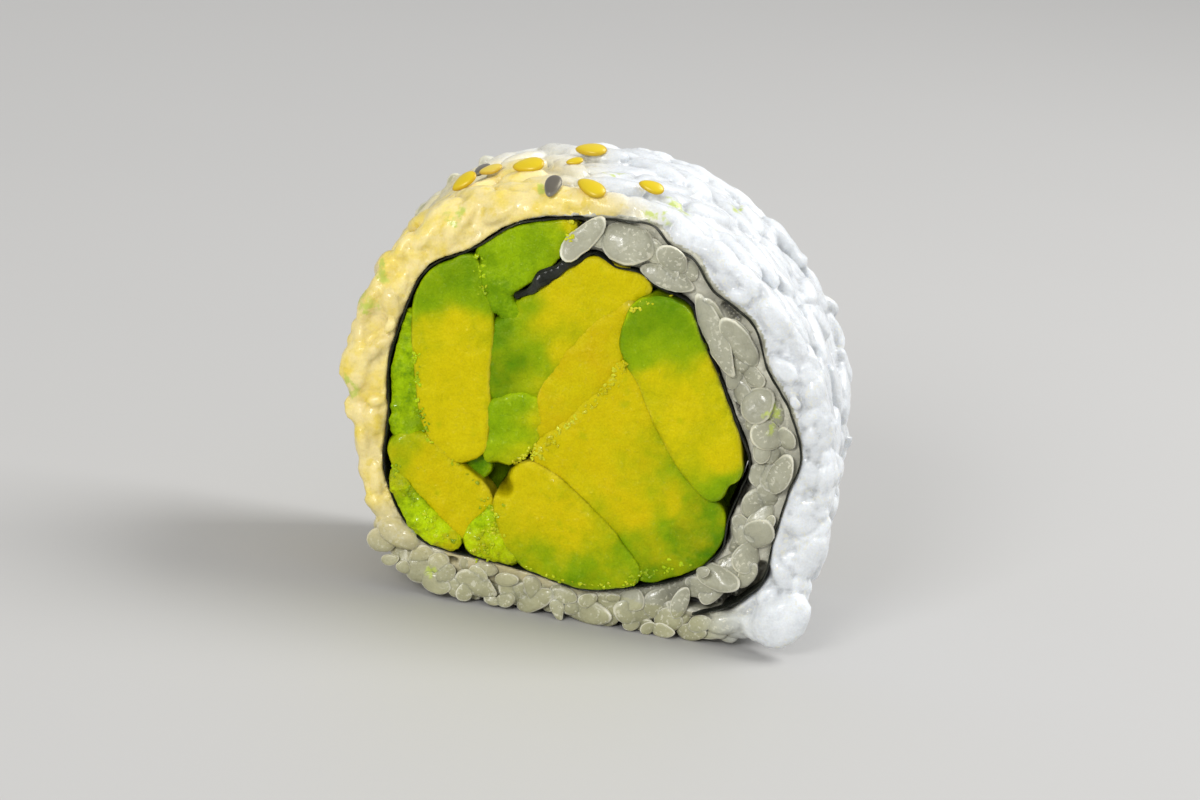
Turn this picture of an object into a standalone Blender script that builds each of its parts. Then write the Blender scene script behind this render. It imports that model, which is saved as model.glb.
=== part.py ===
"""One slice of an inside-out sushi roll: rice round a nori spiral, with avocado slices inside.

Units are metres in the scene and millimetres in the named sizes below. +Z is up. The slice
lies on its rolled side, its cut faces towards -Y and +Y, and its origin is on the table.
"""
import bmesh
import bpy
import numpy as np
from mathutils import Matrix, Vector

MM = 0.001

# Driving dimensions in millimetres
HALF_LENGTH = 12.0       # half of the slice, from one cut face to the other
NORI_THICKNESS = 0.4
NORI_TIP_THICKNESS = 1.3  # the crumpled inner end
NORI_RECESS = 0.3        # the nori's edge lies this far behind the cut face
GAP = 0.3                # clear space between neighbouring pieces
GRAIN_RELIEF = 1.0       # the grains stand out this far from the rice core
RIM_ROUNDING = 0.7       # the rice core's rounded rim at each cut face
RICE_RECESS = 0.5        # the rice core's cut face lies this far behind the grains'
SLAB_EDGE = 0.35         # rounding of the avocado slices' edges
LEAN = 0.0007            # sideways shift for each millimetre of height and of depth
SQUASH = 0.0008          # change of height for each millimetre of depth
GRAIN_PRESS = 0.16       # share of its width that a grain may sink into its neighbour
NORI_CLEARANCE = 0.1     # of a grain in the cut face from the rice's edge at the nori
RANDOM_SEED = 11

# The roll's outer silhouette with its grains, as (x, z), clockwise from the lower left
ROLL_OUTLINE = [
    (-12.0, 0.5), (-17.0, 3.0), (-20.3, 8.0), (-22.4, 14.0), (-24.0, 21.5), (-23.2, 29.0),
    (-19.8, 35.4), (-14.0, 39.8), (-6.0, 42.2), (3.0, 42.3), (11.5, 38.6), (18.6, 32.0),
    (22.6, 24.4), (24.0, 16.0), (23.4, 7.0), (20.4, 1.7), (12.0, 0.2), (0.0, 0.2),
]

# The nori's centre line as (x, z), from its crumpled inner end clockwise to its outer end
NORI_LINE = [
    (-8.5, 30.8), (-6.9, 32.0), (-5.3, 33.7), (-2.0, 36.2), (0.5, 35.3), (2.8, 35.1),
    (4.6, 34.1), (7.9, 32.9), (9.2, 30.3), (11.3, 26.9), (13.6, 22.6), (15.6, 18.7),
    (15.1, 15.6), (14.4, 12.6), (14.1, 9.4), (10.8, 6.2), (6.4, 4.5), (1.6, 3.4),
    (-4.0, 4.3), (-8.7, 4.7), (-13.8, 5.3), (-16.8, 8.0), (-18.8, 12.2), (-19.0, 17.0),
    (-19.6, 22.0), (-18.9, 26.8), (-17.2, 31.9), (-13.2, 34.6), (-9.2, 37.8), (-4.0, 39.2),
    (1.2, 39.8), (3.4, 39.7), (5.2, 38.1), (7.6, 37.2), (9.9, 34.5), (14.0, 31.9),
    (15.9, 28.0), (18.6, 24.3), (20.3, 20.0), (19.6, 16.0), (18.9, 11.0), (18.5, 7.2),
    (15.6, 4.2), (12.4, 2.8),
]
TIP_KNOTS = 3.0          # the crumpled end reaches to this knot of the line above
RICE_START_KNOT = 2.5    # rice lies on the nori's outer side from here
RICE_START_OUTER = 29.2  # and under its outer turn from here

# Seams between neighbouring avocado pieces, as (x, z)
SEAMS = {
    "curl_left": [(-13.1, 34.3), (-12.2, 32.4), (-11.8, 30.8), (-10.4, 28.5)],
    "curl_upper": [(-10.4, 28.5), (-8.2, 28.5), (-7.6, 29.2), (-8.6, 29.8)],
    "curl_rice": [(-3.9, 38.5), (-4.5, 36.6), (-5.4, 34.9)],
    "left_sliver": [(-18.0, 29.0), (-17.4, 24.5), (-16.0, 18.2), (-14.9, 16.1)],
    "left_lower": [(-14.9, 16.1), (-13.7, 14.8), (-12.3, 13.8)],
    "left_recess": [(-12.3, 13.8), (-10.6, 14.4), (-9.5, 15.3)],
    "left_round": [(-9.5, 15.3), (-9.5, 17.0), (-9.8, 20.1)],
    "left_upper": [(-9.8, 20.1), (-10.3, 24.0), (-10.4, 28.5)],
    "sliver_lower": [(-14.9, 16.1), (-16.5, 15.6), (-18.5, 15.1)],
    "lower_strip": [(-18.4, 13.0), (-16.3, 10.6), (-11.5, 6.9), (-10.2, 5.9)],
    "lower_recess": [(-12.3, 13.8), (-9.8, 12.4)],
    "lower_mash": [(-10.2, 5.9), (-9.7, 8.0), (-8.4, 9.1), (-8.0, 10.7)],
    "round_upper": [(-9.8, 20.1), (-8.2, 20.9), (-6.7, 21.5), (-5.2, 21.4)],
    "round_ochre": [(-5.2, 21.4), (-4.5, 19.2), (-4.8, 16.6)],
    "upper_ochre": [(3.3, 32.9), (-0.7, 29.6), (-2.7, 26.6), (-4.1, 24.3), (-5.2, 21.4)],
    "ochre_centre": [(-4.8, 16.6), (-2.2, 19.4), (-0.4, 21.9), (1.1, 24.0), (2.4, 27.0)],
    "ochre_right": [(2.4, 27.0), (2.0, 28.8), (2.4, 31.2), (3.3, 32.9)],
    "centre_right": [(2.4, 27.0), (4.5, 24.6), (6.6, 20.6), (9.8, 16.4), (13.2, 14.0)],
    "centre_bottom": [(-4.8, 15.3), (-0.1, 12.6), (3.4, 9.9), (6.9, 6.2), (6.7, 5.2)],
    "bottom_mash": [(-4.6, 5.0), (-6.2, 6.9), (-7.3, 8.6), (-7.8, 10.6)],
}

# Each avocado piece: its seams and stretches of nori in order round it, and how far its
# front and back faces stand out from the cut
NORI_INSIDE = -1
NORI_OUTSIDE = 1
AVOCADO = {
    "avocado_left_slab": (
        ["curl_left", "left_upper", "left_round", "left_recess", "left_lower", "left_sliver",
         (26.0, 26.8, NORI_INSIDE)], 0.1, 0.2),
    "avocado_rim_sliver": (
        ["left_sliver", "sliver_lower", (22.8, 25.3, NORI_INSIDE)], -0.5, 0.0),
    "avocado_lower_slab": (
        ["sliver_lower", "left_lower", "lower_recess", "lower_mash", "lower_strip"], -0.1, 0.1),
    "avocado_lower_strip": (
        ["lower_strip", (19.5, 22.1, NORI_INSIDE)], 0.2, -0.2),
    "avocado_curl": (
        ["curl_left", (27.4, 29.1, NORI_INSIDE), "curl_rice", (2.0, 0.2, NORI_OUTSIDE),
         [(-9.3, 30.9)], "curl_upper"], -0.2, 0.1),
    "avocado_upper_slab": (
        ["left_upper", "curl_upper", (0.1, 5.9, NORI_INSIDE), "upper_ochre",
         "round_upper"], -0.3, 0.0),
    "avocado_ochre_wedge": (
        ["upper_ochre", "round_ochre", "ochre_centre", "ochre_right"], -0.2, 0.2),
    "avocado_round": (
        ["left_round", "round_upper", "round_ochre", [(-6.4, 14.9), (-8.6, 13.8)]], -0.1, 0.0),
    "avocado_centre_slab": (
        ["ochre_centre", "centre_right", (13.0, 15.6, NORI_INSIDE), "centre_bottom"], -0.1, 0.1),
    "avocado_bottom_slab": (
        ["centre_bottom", (16.0, 17.9, NORI_INSIDE), "bottom_mash",
         [(-7.3, 12.0), (-6.4, 14.0)]], 0.3, -0.1),
    "avocado_right_slab": (
        ["centre_right", "ochre_right", (6.6, 11.6, NORI_INSIDE), [(13.9, 16.8), (13.5, 15.4)]],
        0.6, 0.3),
    "avocado_recess": (
        ["left_recess", [(-8.8, 13.6), (-9.1, 12.4)], "lower_recess"], -1.2, -0.6),
    "avocado_mash": (
        ["lower_mash", "bottom_mash", (18.3, 19.1, NORI_INSIDE)], 0.2, 0.1),
}

# Rice grains: shortest length, longest length, width, and how many darts are thrown
SIDE_GRAINS = [(5.6, 6.8, 2.6, 1600), (4.2, 5.0, 2.3, 700)]
FACE_GRAINS = [(4.0, 5.2, 2.3, 4000), (2.9, 3.5, 2.0, 4000)]
GRAIN_FLATNESS = 0.85    # thickness for each unit of width

# Grains that stand out in the cut face: centre (x, z), length, width, angle from +X in degrees
FACE_LANDMARKS = [
    ((-2.6, 37.5), 4.0, 1.7, 66.0), ((1.3, 37.5), 4.8, 2.6, -10.0), ((10.4, 31.7), 5.2, 1.7, -58.0),
    ((12.9, 30.5), 4.0, 1.8, -55.0), ((18.1, 18.2), 4.2, 2.2, 70.0), ((21.2, 4.6), 4.4, 3.6, 60.0),
    ((-22.6, 21.3), 4.4, 2.7, 85.0), ((-18.0, 4.8), 3.2, 2.4, 30.0), ((22.8, 18.3), 3.4, 2.3, 80.0),
]

# Sesame seeds on the top: place round the roll in degrees from +X, depth y, turn and lean
# towards +Y in degrees, and size for each unit of the largest seed
SEED_LENGTH = 3.1
SEED_WIDTH = 1.8
SEED_THICKNESS = 0.9
SEED_HEIGHT = 1.0        # of a seed's middle above the rice core
SEEDS = [
    (134.0, -2.0, 20.0, -35.0, 0.9), (127.6, -0.6, 0.0, -20.0, 0.75),
    (117.8, -2.5, 0.0, -35.0, 1.0), (104.6, 4.0, 0.0, -20.0, 1.0),
    (107.0, -1.6, 20.0, -25.0, 0.55), (98.0, -11.0, -30.0, -35.0, 1.0),
    (84.0, -8.0, 0.0, -35.0, 0.8), (108.6, -11.0, 80.0, -35.0, 0.9),
    (131.2, 1.2, 70.0, -10.0, 0.8), (171.0, 5.0, 60.0, 0.0, 0.9), (176.0, -1.0, 10.0, 0.0, 1.0),
]
ROLL_CENTRE = (0.0, 21.5)

# The flat spot that the roll rests on
PAD_FROM_X = -5.0
PAD_TO_X = 11.0
PAD_HALF_DEPTH = 7.5


def clear_scene():
    for obj in list(bpy.data.objects):
        bpy.data.objects.remove(obj, do_unlink=True)


def make_material(name, colour, roughness):
    material = bpy.data.materials.new(name)
    material.use_nodes = True
    shader = material.node_tree.nodes["Principled BSDF"]
    shader.inputs["Base Color"].default_value = (*colour, 1.0)
    shader.inputs["Roughness"].default_value = roughness
    shader.inputs["Metallic"].default_value = 0.0
    return material


def smooth_path(knots, places):
    """Points of the smooth curve through the knots, at the given knot numbers."""
    knots = np.asarray(knots, float)
    places = np.clip(np.asarray(places, float), 0.0, len(knots) - 1.0)
    start = np.minimum(places.astype(int), len(knots) - 2)
    t = (places - start)[:, None]
    before = knots[np.maximum(start - 1, 0)]
    here = knots[start]
    after = knots[start + 1]
    beyond = knots[np.minimum(start + 2, len(knots) - 1)]
    return 0.5 * (
        2.0 * here
        + (after - before) * t
        + (2.0 * before - 5.0 * here + 4.0 * after - beyond) * t ** 2
        + (3.0 * here - before - 3.0 * after + beyond) * t ** 3
    )


def smooth_loop(knots, spacing):
    """A closed smooth curve through the knots, with points about the spacing apart."""
    wrapped = [*knots[-2:], *knots, *knots[:3]]
    places = np.linspace(2.0, 2.0 + len(knots), len(knots) * 12, endpoint=False)
    return thin_out(smooth_path(wrapped, places), spacing)


def thin_out(points, spacing):
    """Every point that lies at least the spacing from the last one kept."""
    kept = [points[0]]
    for point in points[1:]:
        if np.linalg.norm(point - kept[-1]) >= spacing:
            kept.append(point)
    if np.linalg.norm(kept[-1] - kept[0]) < 0.6 * spacing:
        kept.pop()
    return np.array(kept)


def left_normals(points, closed):
    """Unit vectors to the left of the path at each point."""
    if closed:
        along = np.roll(points, -1, axis=0) - np.roll(points, 1, axis=0)
    else:
        along = np.gradient(points, axis=0)
    along /= np.linalg.norm(along, axis=1)[:, None]
    return np.stack([-along[:, 1], along[:, 0]], axis=1)


def turned_left(outline):
    """The outline in counter-clockwise order."""
    x, z = outline.T
    area = np.sum(x * np.roll(z, -1) - np.roll(x, -1) * z)
    return outline if area > 0 else outline[::-1]


def inset(outline, distance):
    """The counter-clockwise outline moved inwards, its corners kept sharp up to a limit."""
    ahead = np.roll(outline, -1, axis=0) - outline
    ahead /= np.linalg.norm(ahead, axis=1)[:, None]
    normal = np.stack([-ahead[:, 1], ahead[:, 0]], axis=1)
    corner = normal + np.roll(normal, 1, axis=0)
    corner /= np.maximum(np.sum(corner * normal, axis=1), 0.6)[:, None]
    return outline + distance * corner


def round_corners(outline, rounds):
    for _ in range(rounds):
        ahead = np.roll(outline, -1, axis=0)
        pairs = np.stack([0.75 * outline + 0.25 * ahead, 0.25 * outline + 0.75 * ahead], axis=1)
        outline = pairs.reshape(-1, 2)
    return outline


def nori_half_thickness(places):
    crumple = np.clip(1.0 - np.asarray(places) / TIP_KNOTS, 0.0, 1.0)
    crumple = np.sin(np.pi * np.minimum(crumple, 0.8) ** 0.8)
    return 0.5 * (NORI_THICKNESS + (NORI_TIP_THICKNESS - NORI_THICKNESS) * crumple)


def nori_side(first, last, side, clearance, spacing):
    """Points beside the nori between two knots, on its inside (-1) or outside (+1)."""
    count = max(2, int(abs(last - first) * 12))
    places = np.linspace(first, last, count)
    normals = left_normals(smooth_path(NORI_LINE, places), closed=False)
    if last < first:
        normals = -normals
    reach = nori_half_thickness(places) + clearance
    points = smooth_path(NORI_LINE, places) + side * normals * reach[:, None]
    ends = points[-1:]
    return np.concatenate([thin_out(points, spacing)[:-1], ends])


def join_stretches(stretches):
    """One outline from stretches in order, each turned so that it starts where the last ends."""
    first, second = stretches[0], stretches[1]
    reach = min(np.linalg.norm(first[-1] - end) for end in (second[0], second[-1]))
    back = min(np.linalg.norm(first[0] - end) for end in (second[0], second[-1]))
    outline = list(first if reach <= back else first[::-1])
    for stretch in stretches[1:]:
        forwards = np.linalg.norm(stretch[0] - outline[-1]) <= np.linalg.norm(stretch[-1] - outline[-1])
        outline.extend(stretch if forwards else stretch[::-1])
    return thin_out(np.array(outline), 0.4)


def piece_outline(stretches):
    """The outline of an avocado piece, with half of the gap taken off all round."""
    points = []
    for stretch in stretches:
        if isinstance(stretch, str):
            points.append(np.array(SEAMS[stretch]))
        elif isinstance(stretch, tuple):
            points.append(nori_side(*stretch, 0.5 * GAP, 2.0))
        else:
            points.append(np.array(stretch))
    outline = turned_left(join_stretches(points))
    return thin_out(round_corners(inset(outline, 0.5 * GAP), 2), 0.7)


def settled(x, y, z):
    """The slight lean and squash that the slice has from its front to its back."""
    return Vector((x + LEAN * y * z, y, z * (1.0 + SQUASH * y))) * MM


def object_from(bm, name, material):
    bmesh.ops.recalc_face_normals(bm, faces=bm.faces)
    mesh = bpy.data.meshes.new(name)
    bm.to_mesh(mesh)
    bm.free()
    mesh.materials.append(material)
    obj = bpy.data.objects.new(name, mesh)
    bpy.context.scene.collection.objects.link(obj)
    return obj


def add_ring(bm, outline, y):
    return [bm.verts.new(settled(x, y, z)) for x, z in outline]


def bridge(bm, ring, following):
    for i in range(len(ring)):
        j = (i + 1) % len(ring)
        bm.faces.new((ring[i], ring[j], following[j], following[i]))


def make_slab(name, outline, front, back, material):
    """A slice of avocado: its outline run through the roll, with rounded edges."""
    bm = bmesh.new()
    face_outline = inset(outline, SLAB_EDGE)
    rings = [
        add_ring(bm, face_outline, -front),
        add_ring(bm, outline, -front + SLAB_EDGE),
        add_ring(bm, outline, back - SLAB_EDGE),
        add_ring(bm, face_outline, back),
    ]
    for ring, following in zip(rings, rings[1:]):
        bridge(bm, ring, following)
    bm.faces.new(rings[0])
    bm.faces.new(rings[-1])
    return object_from(bm, name, material)


def make_nori(material):
    """The nori: a thin band along the spiral, as wide as the slice is long."""
    bm = bmesh.new()
    last = len(NORI_LINE) - 1.0
    places = np.linspace(0.0, last, int(last * 2.6))
    line = smooth_path(NORI_LINE, places)
    reach = nori_half_thickness(places)[:, None] * left_normals(line, closed=False)
    depth = HALF_LENGTH - NORI_RECESS
    sections = []
    for left, right in zip(line + reach, line - reach):
        corners = ((left, -depth), (right, -depth), (right, depth), (left, depth))
        sections.append([bm.verts.new(settled(x, y, z)) for (x, z), y in corners])
    for section, following in zip(sections, sections[1:]):
        bridge(bm, section, following)
    bm.faces.new(sections[0])
    bm.faces.new(sections[-1])
    return object_from(bm, "nori", material)


def rice_hole():
    """The edge of the rice towards the nori and the filling, as one closed outline."""
    last = len(NORI_LINE) - 1.0
    outer = nori_side(RICE_START_KNOT, last, NORI_OUTSIDE, GAP, 1.6)
    under = nori_side(last, RICE_START_OUTER, NORI_INSIDE, GAP, 1.6)
    way_out = smooth_path(NORI_LINE, [last])[0] - smooth_path(NORI_LINE, [last - 0.2])[0]
    way_out *= (0.5 * NORI_THICKNESS + GAP) / np.linalg.norm(way_out)
    end = np.array([outer[-1] + way_out, under[0] + way_out])
    return np.concatenate([outer[:-1], end, under[1:]])


def make_rice_core(material):
    """The rice without its grains: a ring that follows the nori, with rounded rims."""
    envelope = smooth_loop(ROLL_OUTLINE, 3.0)
    side = inset(turned_left(envelope), GRAIN_RELIEF)
    rim = inset(side, RIM_ROUNDING)
    face = HALF_LENGTH - RICE_RECESS
    shoulder = face - RIM_ROUNDING
    hole = rice_hole()
    bm = bmesh.new()
    outer = [add_ring(bm, rim, -face), add_ring(bm, side, -shoulder),
             add_ring(bm, side, shoulder), add_ring(bm, rim, face)]
    inner = [add_ring(bm, hole, -face), add_ring(bm, hole, face)]
    for ring, following in zip(outer, outer[1:]):
        bridge(bm, ring, following)
    bridge(bm, inner[0], inner[1])
    for rim_ring, hole_ring in ((outer[0], inner[0]), (outer[-1], inner[-1])):
        fill_between(bm, rim_ring, hole_ring)
    return object_from(bm, "rice", material)


def fill_between(bm, ring, hole_ring):
    edges = []
    for loop in (ring, hole_ring):
        edges += [bm.edges.get((loop[i - 1], loop[i])) for i in range(len(loop))]
    bmesh.ops.triangle_fill(bm, use_beauty=True, use_dissolve=False, edges=edges)


def unit(vector):
    return vector / np.linalg.norm(vector)


def inside(point, outline):
    """Whether the point lies inside the closed outline."""
    x, z = (outline - point).T
    next_x, next_z = np.roll(x, -1), np.roll(z, -1)
    crossing = (z > 0) != (next_z > 0)
    at_x = x[crossing] - z[crossing] * (next_x - x)[crossing] / (next_z - z)[crossing]
    return np.sum(at_x > 0) % 2 == 1


def outside_ellipse(offsets, direction, half):
    """Whether all points, given from the ellipse's centre, lie outside it."""
    along = offsets @ direction
    across = offsets @ np.array([-direction[1], direction[0]])
    return bool(np.all((along / half[0]) ** 2 + (across / half[1]) ** 2 > 1.0))


class GrainField:
    """Rice grains on the core, each kept clear of the nori and only pressed into its neighbours."""

    def __init__(self):
        self.side = turned_left(smooth_loop(ROLL_OUTLINE, 0.5))
        self.core = inset(self.side, GRAIN_RELIEF)
        self.hole = rice_hole()
        self.edge_of_hole = self.close_points(self.hole)
        self.grains = []
        self.balls = np.zeros((0, 4))

    @staticmethod
    def close_points(outline):
        steps = np.linspace(0.0, 1.0, 6, endpoint=False)[None, :, None]
        ahead = np.roll(outline, -1, axis=0)[:, None]
        return (outline[:, None] * (1 - steps) + ahead * steps).reshape(-1, 2)

    def add(self, centre, axis, normal, length, width, loose=False):
        """Keep the grain if it fits between those that are there."""
        reach = 0.5 * (length - width)
        offsets = np.array([-reach, 0.0, reach])
        points = centre + offsets[:, None] * axis
        radius = 0.5 * width
        if not loose and len(self.balls):
            apart = np.linalg.norm(self.balls[:, None, :3] - points[None], axis=2)
            if np.any(apart < (self.balls[:, 3:] + radius) * (1.0 - GRAIN_PRESS)):
                return
        balls = np.concatenate([points, np.full((3, 1), radius)], axis=1)
        self.balls = np.concatenate([self.balls, balls])
        self.grains.append((centre, axis, normal, length, width))

    def on_side(self, place, depth, turn, length, width):
        """A grain lying on the rolled side, turned from the way round the roll."""
        count = len(self.core)
        index = int(place * count)
        x, z = self.core[index]
        way = unit(self.core[(index + 2) % count] - self.core[index - 2])
        normal = np.array([way[1], 0.0, -way[0]])
        round_way = np.array([way[0], 0.0, way[1]])
        axis = np.cos(turn) * round_way + np.sin(turn) * np.array([0.0, 1.0, 0.0])
        sunk = GRAIN_RELIEF - 0.5 * GRAIN_FLATNESS * width
        rim = np.clip((abs(depth) - (HALF_LENGTH - 2.4)) / 2.4, 0.0, 1.0)
        centre = np.array([x, depth, z]) + (sunk - 0.7 * rim ** 2) * normal
        lowest = centre[2] - 0.5 * width
        if lowest < 0.05 and abs(depth) < PAD_HALF_DEPTH + 2.5:
            return
        centre[2] += max(0.0, 0.02 - lowest)
        self.add(centre, axis, normal, length, width)

    def on_face(self, x, z, turn, length, width, front, loose=False):
        """A cut grain in one of the faces, kept off the nori and shortened if it must be."""
        centre = np.array([x, z])
        if not inside(centre, self.side) or inside(centre, self.hole):
            return
        direction = np.array([np.cos(turn), np.sin(turn)])
        for share in (1.0, 0.85, 0.7):
            half = 0.5 * share * np.array([length, width])
            lowest = z - np.hypot(half[0] * direction[1], half[1] * direction[0])
            clear = outside_ellipse(self.edge_of_hole - centre, direction, half + NORI_CLEARANCE)
            held = loose or outside_ellipse(self.side - centre, direction, 0.8 * half)
            if clear and held and lowest > 0.02:
                break
        else:
            return
        depth = -1.0 if front else 1.0
        normal = np.array([0.0, depth, 0.0])
        thickness = GRAIN_FLATNESS * width * share
        place = np.array([x, depth * (HALF_LENGTH + 0.15 - 0.5 * thickness), z])
        axis = np.array([direction[0], 0.0, direction[1]])
        self.add(place, axis, normal, length * share, width * share, loose)

    def scatter(self):
        """Landmark grains first, then the largest that still fit, then smaller ones."""
        random = np.random.default_rng(RANDOM_SEED)
        for (x, z), length, width, turn in FACE_LANDMARKS:
            self.on_face(x, z, np.radians(turn), length, width, front=True, loose=True)
        for shortest, longest, width, darts in FACE_GRAINS:
            for dart in range(darts):
                x, z = random.uniform((-25.0, 0.0), (25.0, 43.0))
                round_way = np.arctan2(z - ROLL_CENTRE[1], x - ROLL_CENTRE[0]) + 0.5 * np.pi
                turn = round_way + random.normal(0.0, 0.45)
                length = random.uniform(shortest, longest)
                self.on_face(x, z, turn, length, width * random.uniform(0.9, 1.05), front=dart % 2 == 0)
        for shortest, longest, width, darts in SIDE_GRAINS:
            for _ in range(darts):
                place, depth = random.uniform((0.0, -HALF_LENGTH + 1.1), (1.0, HALF_LENGTH - 1.1))
                length = random.uniform(shortest, longest)
                turn = random.normal(0.0, 0.7) * (1.0 - 0.6 * (abs(depth) / HALF_LENGTH) ** 4)
                self.on_side(place, depth, turn, length, width * random.uniform(0.92, 1.08))
        return self.grains


def make_underside_pad(collection):
    """The flattened patch that the roll rests on."""
    bm = bmesh.new()
    bmesh.ops.create_cube(bm, size=1.0)
    for vert in bm.verts:
        spread = 1.0 if vert.co.z > 0 else 0.85
        x = 0.5 * (PAD_FROM_X + PAD_TO_X) + spread * vert.co.x * (PAD_TO_X - PAD_FROM_X)
        y = spread * vert.co.y * 2.0 * PAD_HALF_DEPTH
        vert.co = Vector((x, y, 2.0 if vert.co.z > 0 else 0.0)) * MM
    link_helper(bm, "pad", collection)


def make_ellipsoid(collection, name, centre, axis, normal, size):
    """A grain or seed with few sides, its length, width and thickness along its own axes."""
    bm = bmesh.new()
    bmesh.ops.create_icosphere(bm, subdivisions=1, radius=0.5)
    across = np.cross(normal, axis)
    turn = Matrix(np.stack([axis, across, normal], axis=1).tolist()).to_4x4()
    stretch = Matrix.Diagonal((*(np.array(size) * MM), 1.0))
    bm.transform(Matrix.Translation(settled(*centre)) @ turn @ stretch)
    link_helper(bm, name, collection)


def link_helper(bm, name, collection):
    mesh = bpy.data.meshes.new(name)
    bm.to_mesh(mesh)
    bm.free()
    collection.objects.link(bpy.data.objects.new(name, mesh))


def seed_places(field):
    """Centre, axis, normal and size of each sesame seed on the rice."""
    places = []
    x, z = field.core.T
    angles = np.degrees(np.arctan2(z - ROLL_CENTRE[1], x - ROLL_CENTRE[0]))
    for angle, depth, turn, lean, size in SEEDS:
        index = int(np.argmin(np.abs(angles - angle)))
        way = unit(field.core[(index + 2) % len(field.core)] - field.core[index - 2])
        outward = np.array([way[1], 0.0, -way[0]])
        round_way = np.array([way[0], 0.0, way[1]])
        turn, lean = np.radians((turn, lean))
        normal = np.cos(lean) * outward + np.sin(lean) * np.array([0.0, 1.0, 0.0])
        axis = np.cos(turn) * round_way + np.sin(turn) * np.cross(normal, round_way)
        centre = np.array([x[index], depth, z[index]]) + SEED_HEIGHT * outward
        places.append((centre, axis, normal, size))
    return places


def fuse(core, collection):
    """Join the helpers to the core, and keep the one outer skin."""
    union = core.modifiers.new("fused grains", "BOOLEAN")
    union.operation = "UNION"
    union.operand_type = "COLLECTION"
    union.collection = collection
    union.solver = "MANIFOLD"
    graph = bpy.context.evaluated_depsgraph_get()
    fused = bpy.data.meshes.new_from_object(core.evaluated_get(graph))
    core.modifiers.remove(union)
    core.data = fused
    for helper in list(collection.objects):
        bpy.data.objects.remove(helper, do_unlink=True)
    bpy.data.collections.remove(collection)
    keep_outer_skin(fused)


def keep_outer_skin(mesh):
    """Drop loose scraps and the walls of sealed hollows: all but the largest connected skin."""
    bm = bmesh.new()
    bm.from_mesh(mesh)
    bmesh.ops.triangulate(bm, faces=bm.faces)
    unseen = set(bm.verts)
    skins = []
    while unseen:
        skin = {unseen.pop()}
        edge_of_search = list(skin)
        while edge_of_search:
            vert = edge_of_search.pop()
            for edge in vert.link_edges:
                other = edge.other_vert(vert)
                if other in unseen:
                    unseen.remove(other)
                    skin.add(other)
                    edge_of_search.append(other)
        skins.append(skin)
    largest = max(skins, key=len)
    bmesh.ops.delete(bm, geom=[v for v in bm.verts if v not in largest], context="VERTS")
    bm.to_mesh(mesh)
    bm.free()


def make_rice(material):
    core = make_rice_core(material)
    helpers = bpy.data.collections.new("grains")
    bpy.context.scene.collection.children.link(helpers)
    field = GrainField()
    for i, (centre, axis, normal, length, width) in enumerate(field.scatter()):
        size = (length, width, GRAIN_FLATNESS * width)
        make_ellipsoid(helpers, f"grain_{i}", centre, axis, normal, size)
    for i, (centre, axis, normal, share) in enumerate(seed_places(field)):
        size = share * np.array((SEED_LENGTH, SEED_WIDTH, SEED_THICKNESS))
        make_ellipsoid(helpers, f"seed_{i}", centre, axis, normal, size)
    make_underside_pad(helpers)
    fuse(core, helpers)


def make_avocado():
    ripe = make_material("avocado_yellow", (0.56, 0.49, 0.02), 0.3)
    skin_side = make_material("avocado_green", (0.16, 0.33, 0.01), 0.3)
    ochre = make_material("avocado_ochre", (0.5, 0.36, 0.02), 0.35)
    green = ("avocado_rim_sliver", "avocado_curl", "avocado_lower_strip", "avocado_recess")
    for name, (stretches, front, back) in AVOCADO.items():
        material = skin_side if name in green else ripe
        if name == "avocado_ochre_wedge":
            material = ochre
        make_slab(name, piece_outline(stretches), HALF_LENGTH + front, HALF_LENGTH + back, material)


def main():
    clear_scene()
    make_nori(make_material("nori_dark", (0.012, 0.014, 0.01), 0.45))
    make_avocado()
    make_rice(make_material("rice_white", (0.8, 0.79, 0.74), 0.4))


main()
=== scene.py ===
"""Looks of one slice of an inside-out sushi roll: rice grains, sesame, nori and avocado.

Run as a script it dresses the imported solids. The sizes and colours are in the property
groups below, and the panel in the 3D view's sidebar lists the steps.
"""

import bmesh
import bpy
import numpy as np
from bpy.props import (
    FloatProperty, FloatVectorProperty, IntProperty, PointerProperty,
)
from bpy.types import Operator, Panel, PropertyGroup
from mathutils import Matrix, Vector, noise
from mathutils.bvhtree import BVHTree
from mathutils.kdtree import KDTree


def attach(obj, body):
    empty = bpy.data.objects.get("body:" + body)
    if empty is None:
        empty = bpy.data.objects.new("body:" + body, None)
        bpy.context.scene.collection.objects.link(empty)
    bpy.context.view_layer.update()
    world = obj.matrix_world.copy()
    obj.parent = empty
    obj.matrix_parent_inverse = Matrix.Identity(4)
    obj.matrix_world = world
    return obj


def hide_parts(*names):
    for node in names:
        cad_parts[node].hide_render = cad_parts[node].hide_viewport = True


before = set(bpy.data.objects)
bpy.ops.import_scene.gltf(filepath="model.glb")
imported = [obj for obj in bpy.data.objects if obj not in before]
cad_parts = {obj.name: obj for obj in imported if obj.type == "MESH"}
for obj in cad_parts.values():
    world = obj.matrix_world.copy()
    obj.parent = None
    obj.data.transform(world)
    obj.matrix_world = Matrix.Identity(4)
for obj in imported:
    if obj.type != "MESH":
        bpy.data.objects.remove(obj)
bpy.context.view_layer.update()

bl_info = {
    "name": "Uramaki roll",
    "version": (1, 0, 0),
    "blender": (4, 5, 0),
    "location": "View3D > Sidebar > Uramaki",
    "description": "Dresses one slice of an inside-out sushi roll",
    "category": "Add Mesh",
}

BODY = "root"
MM = 0.001

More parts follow.
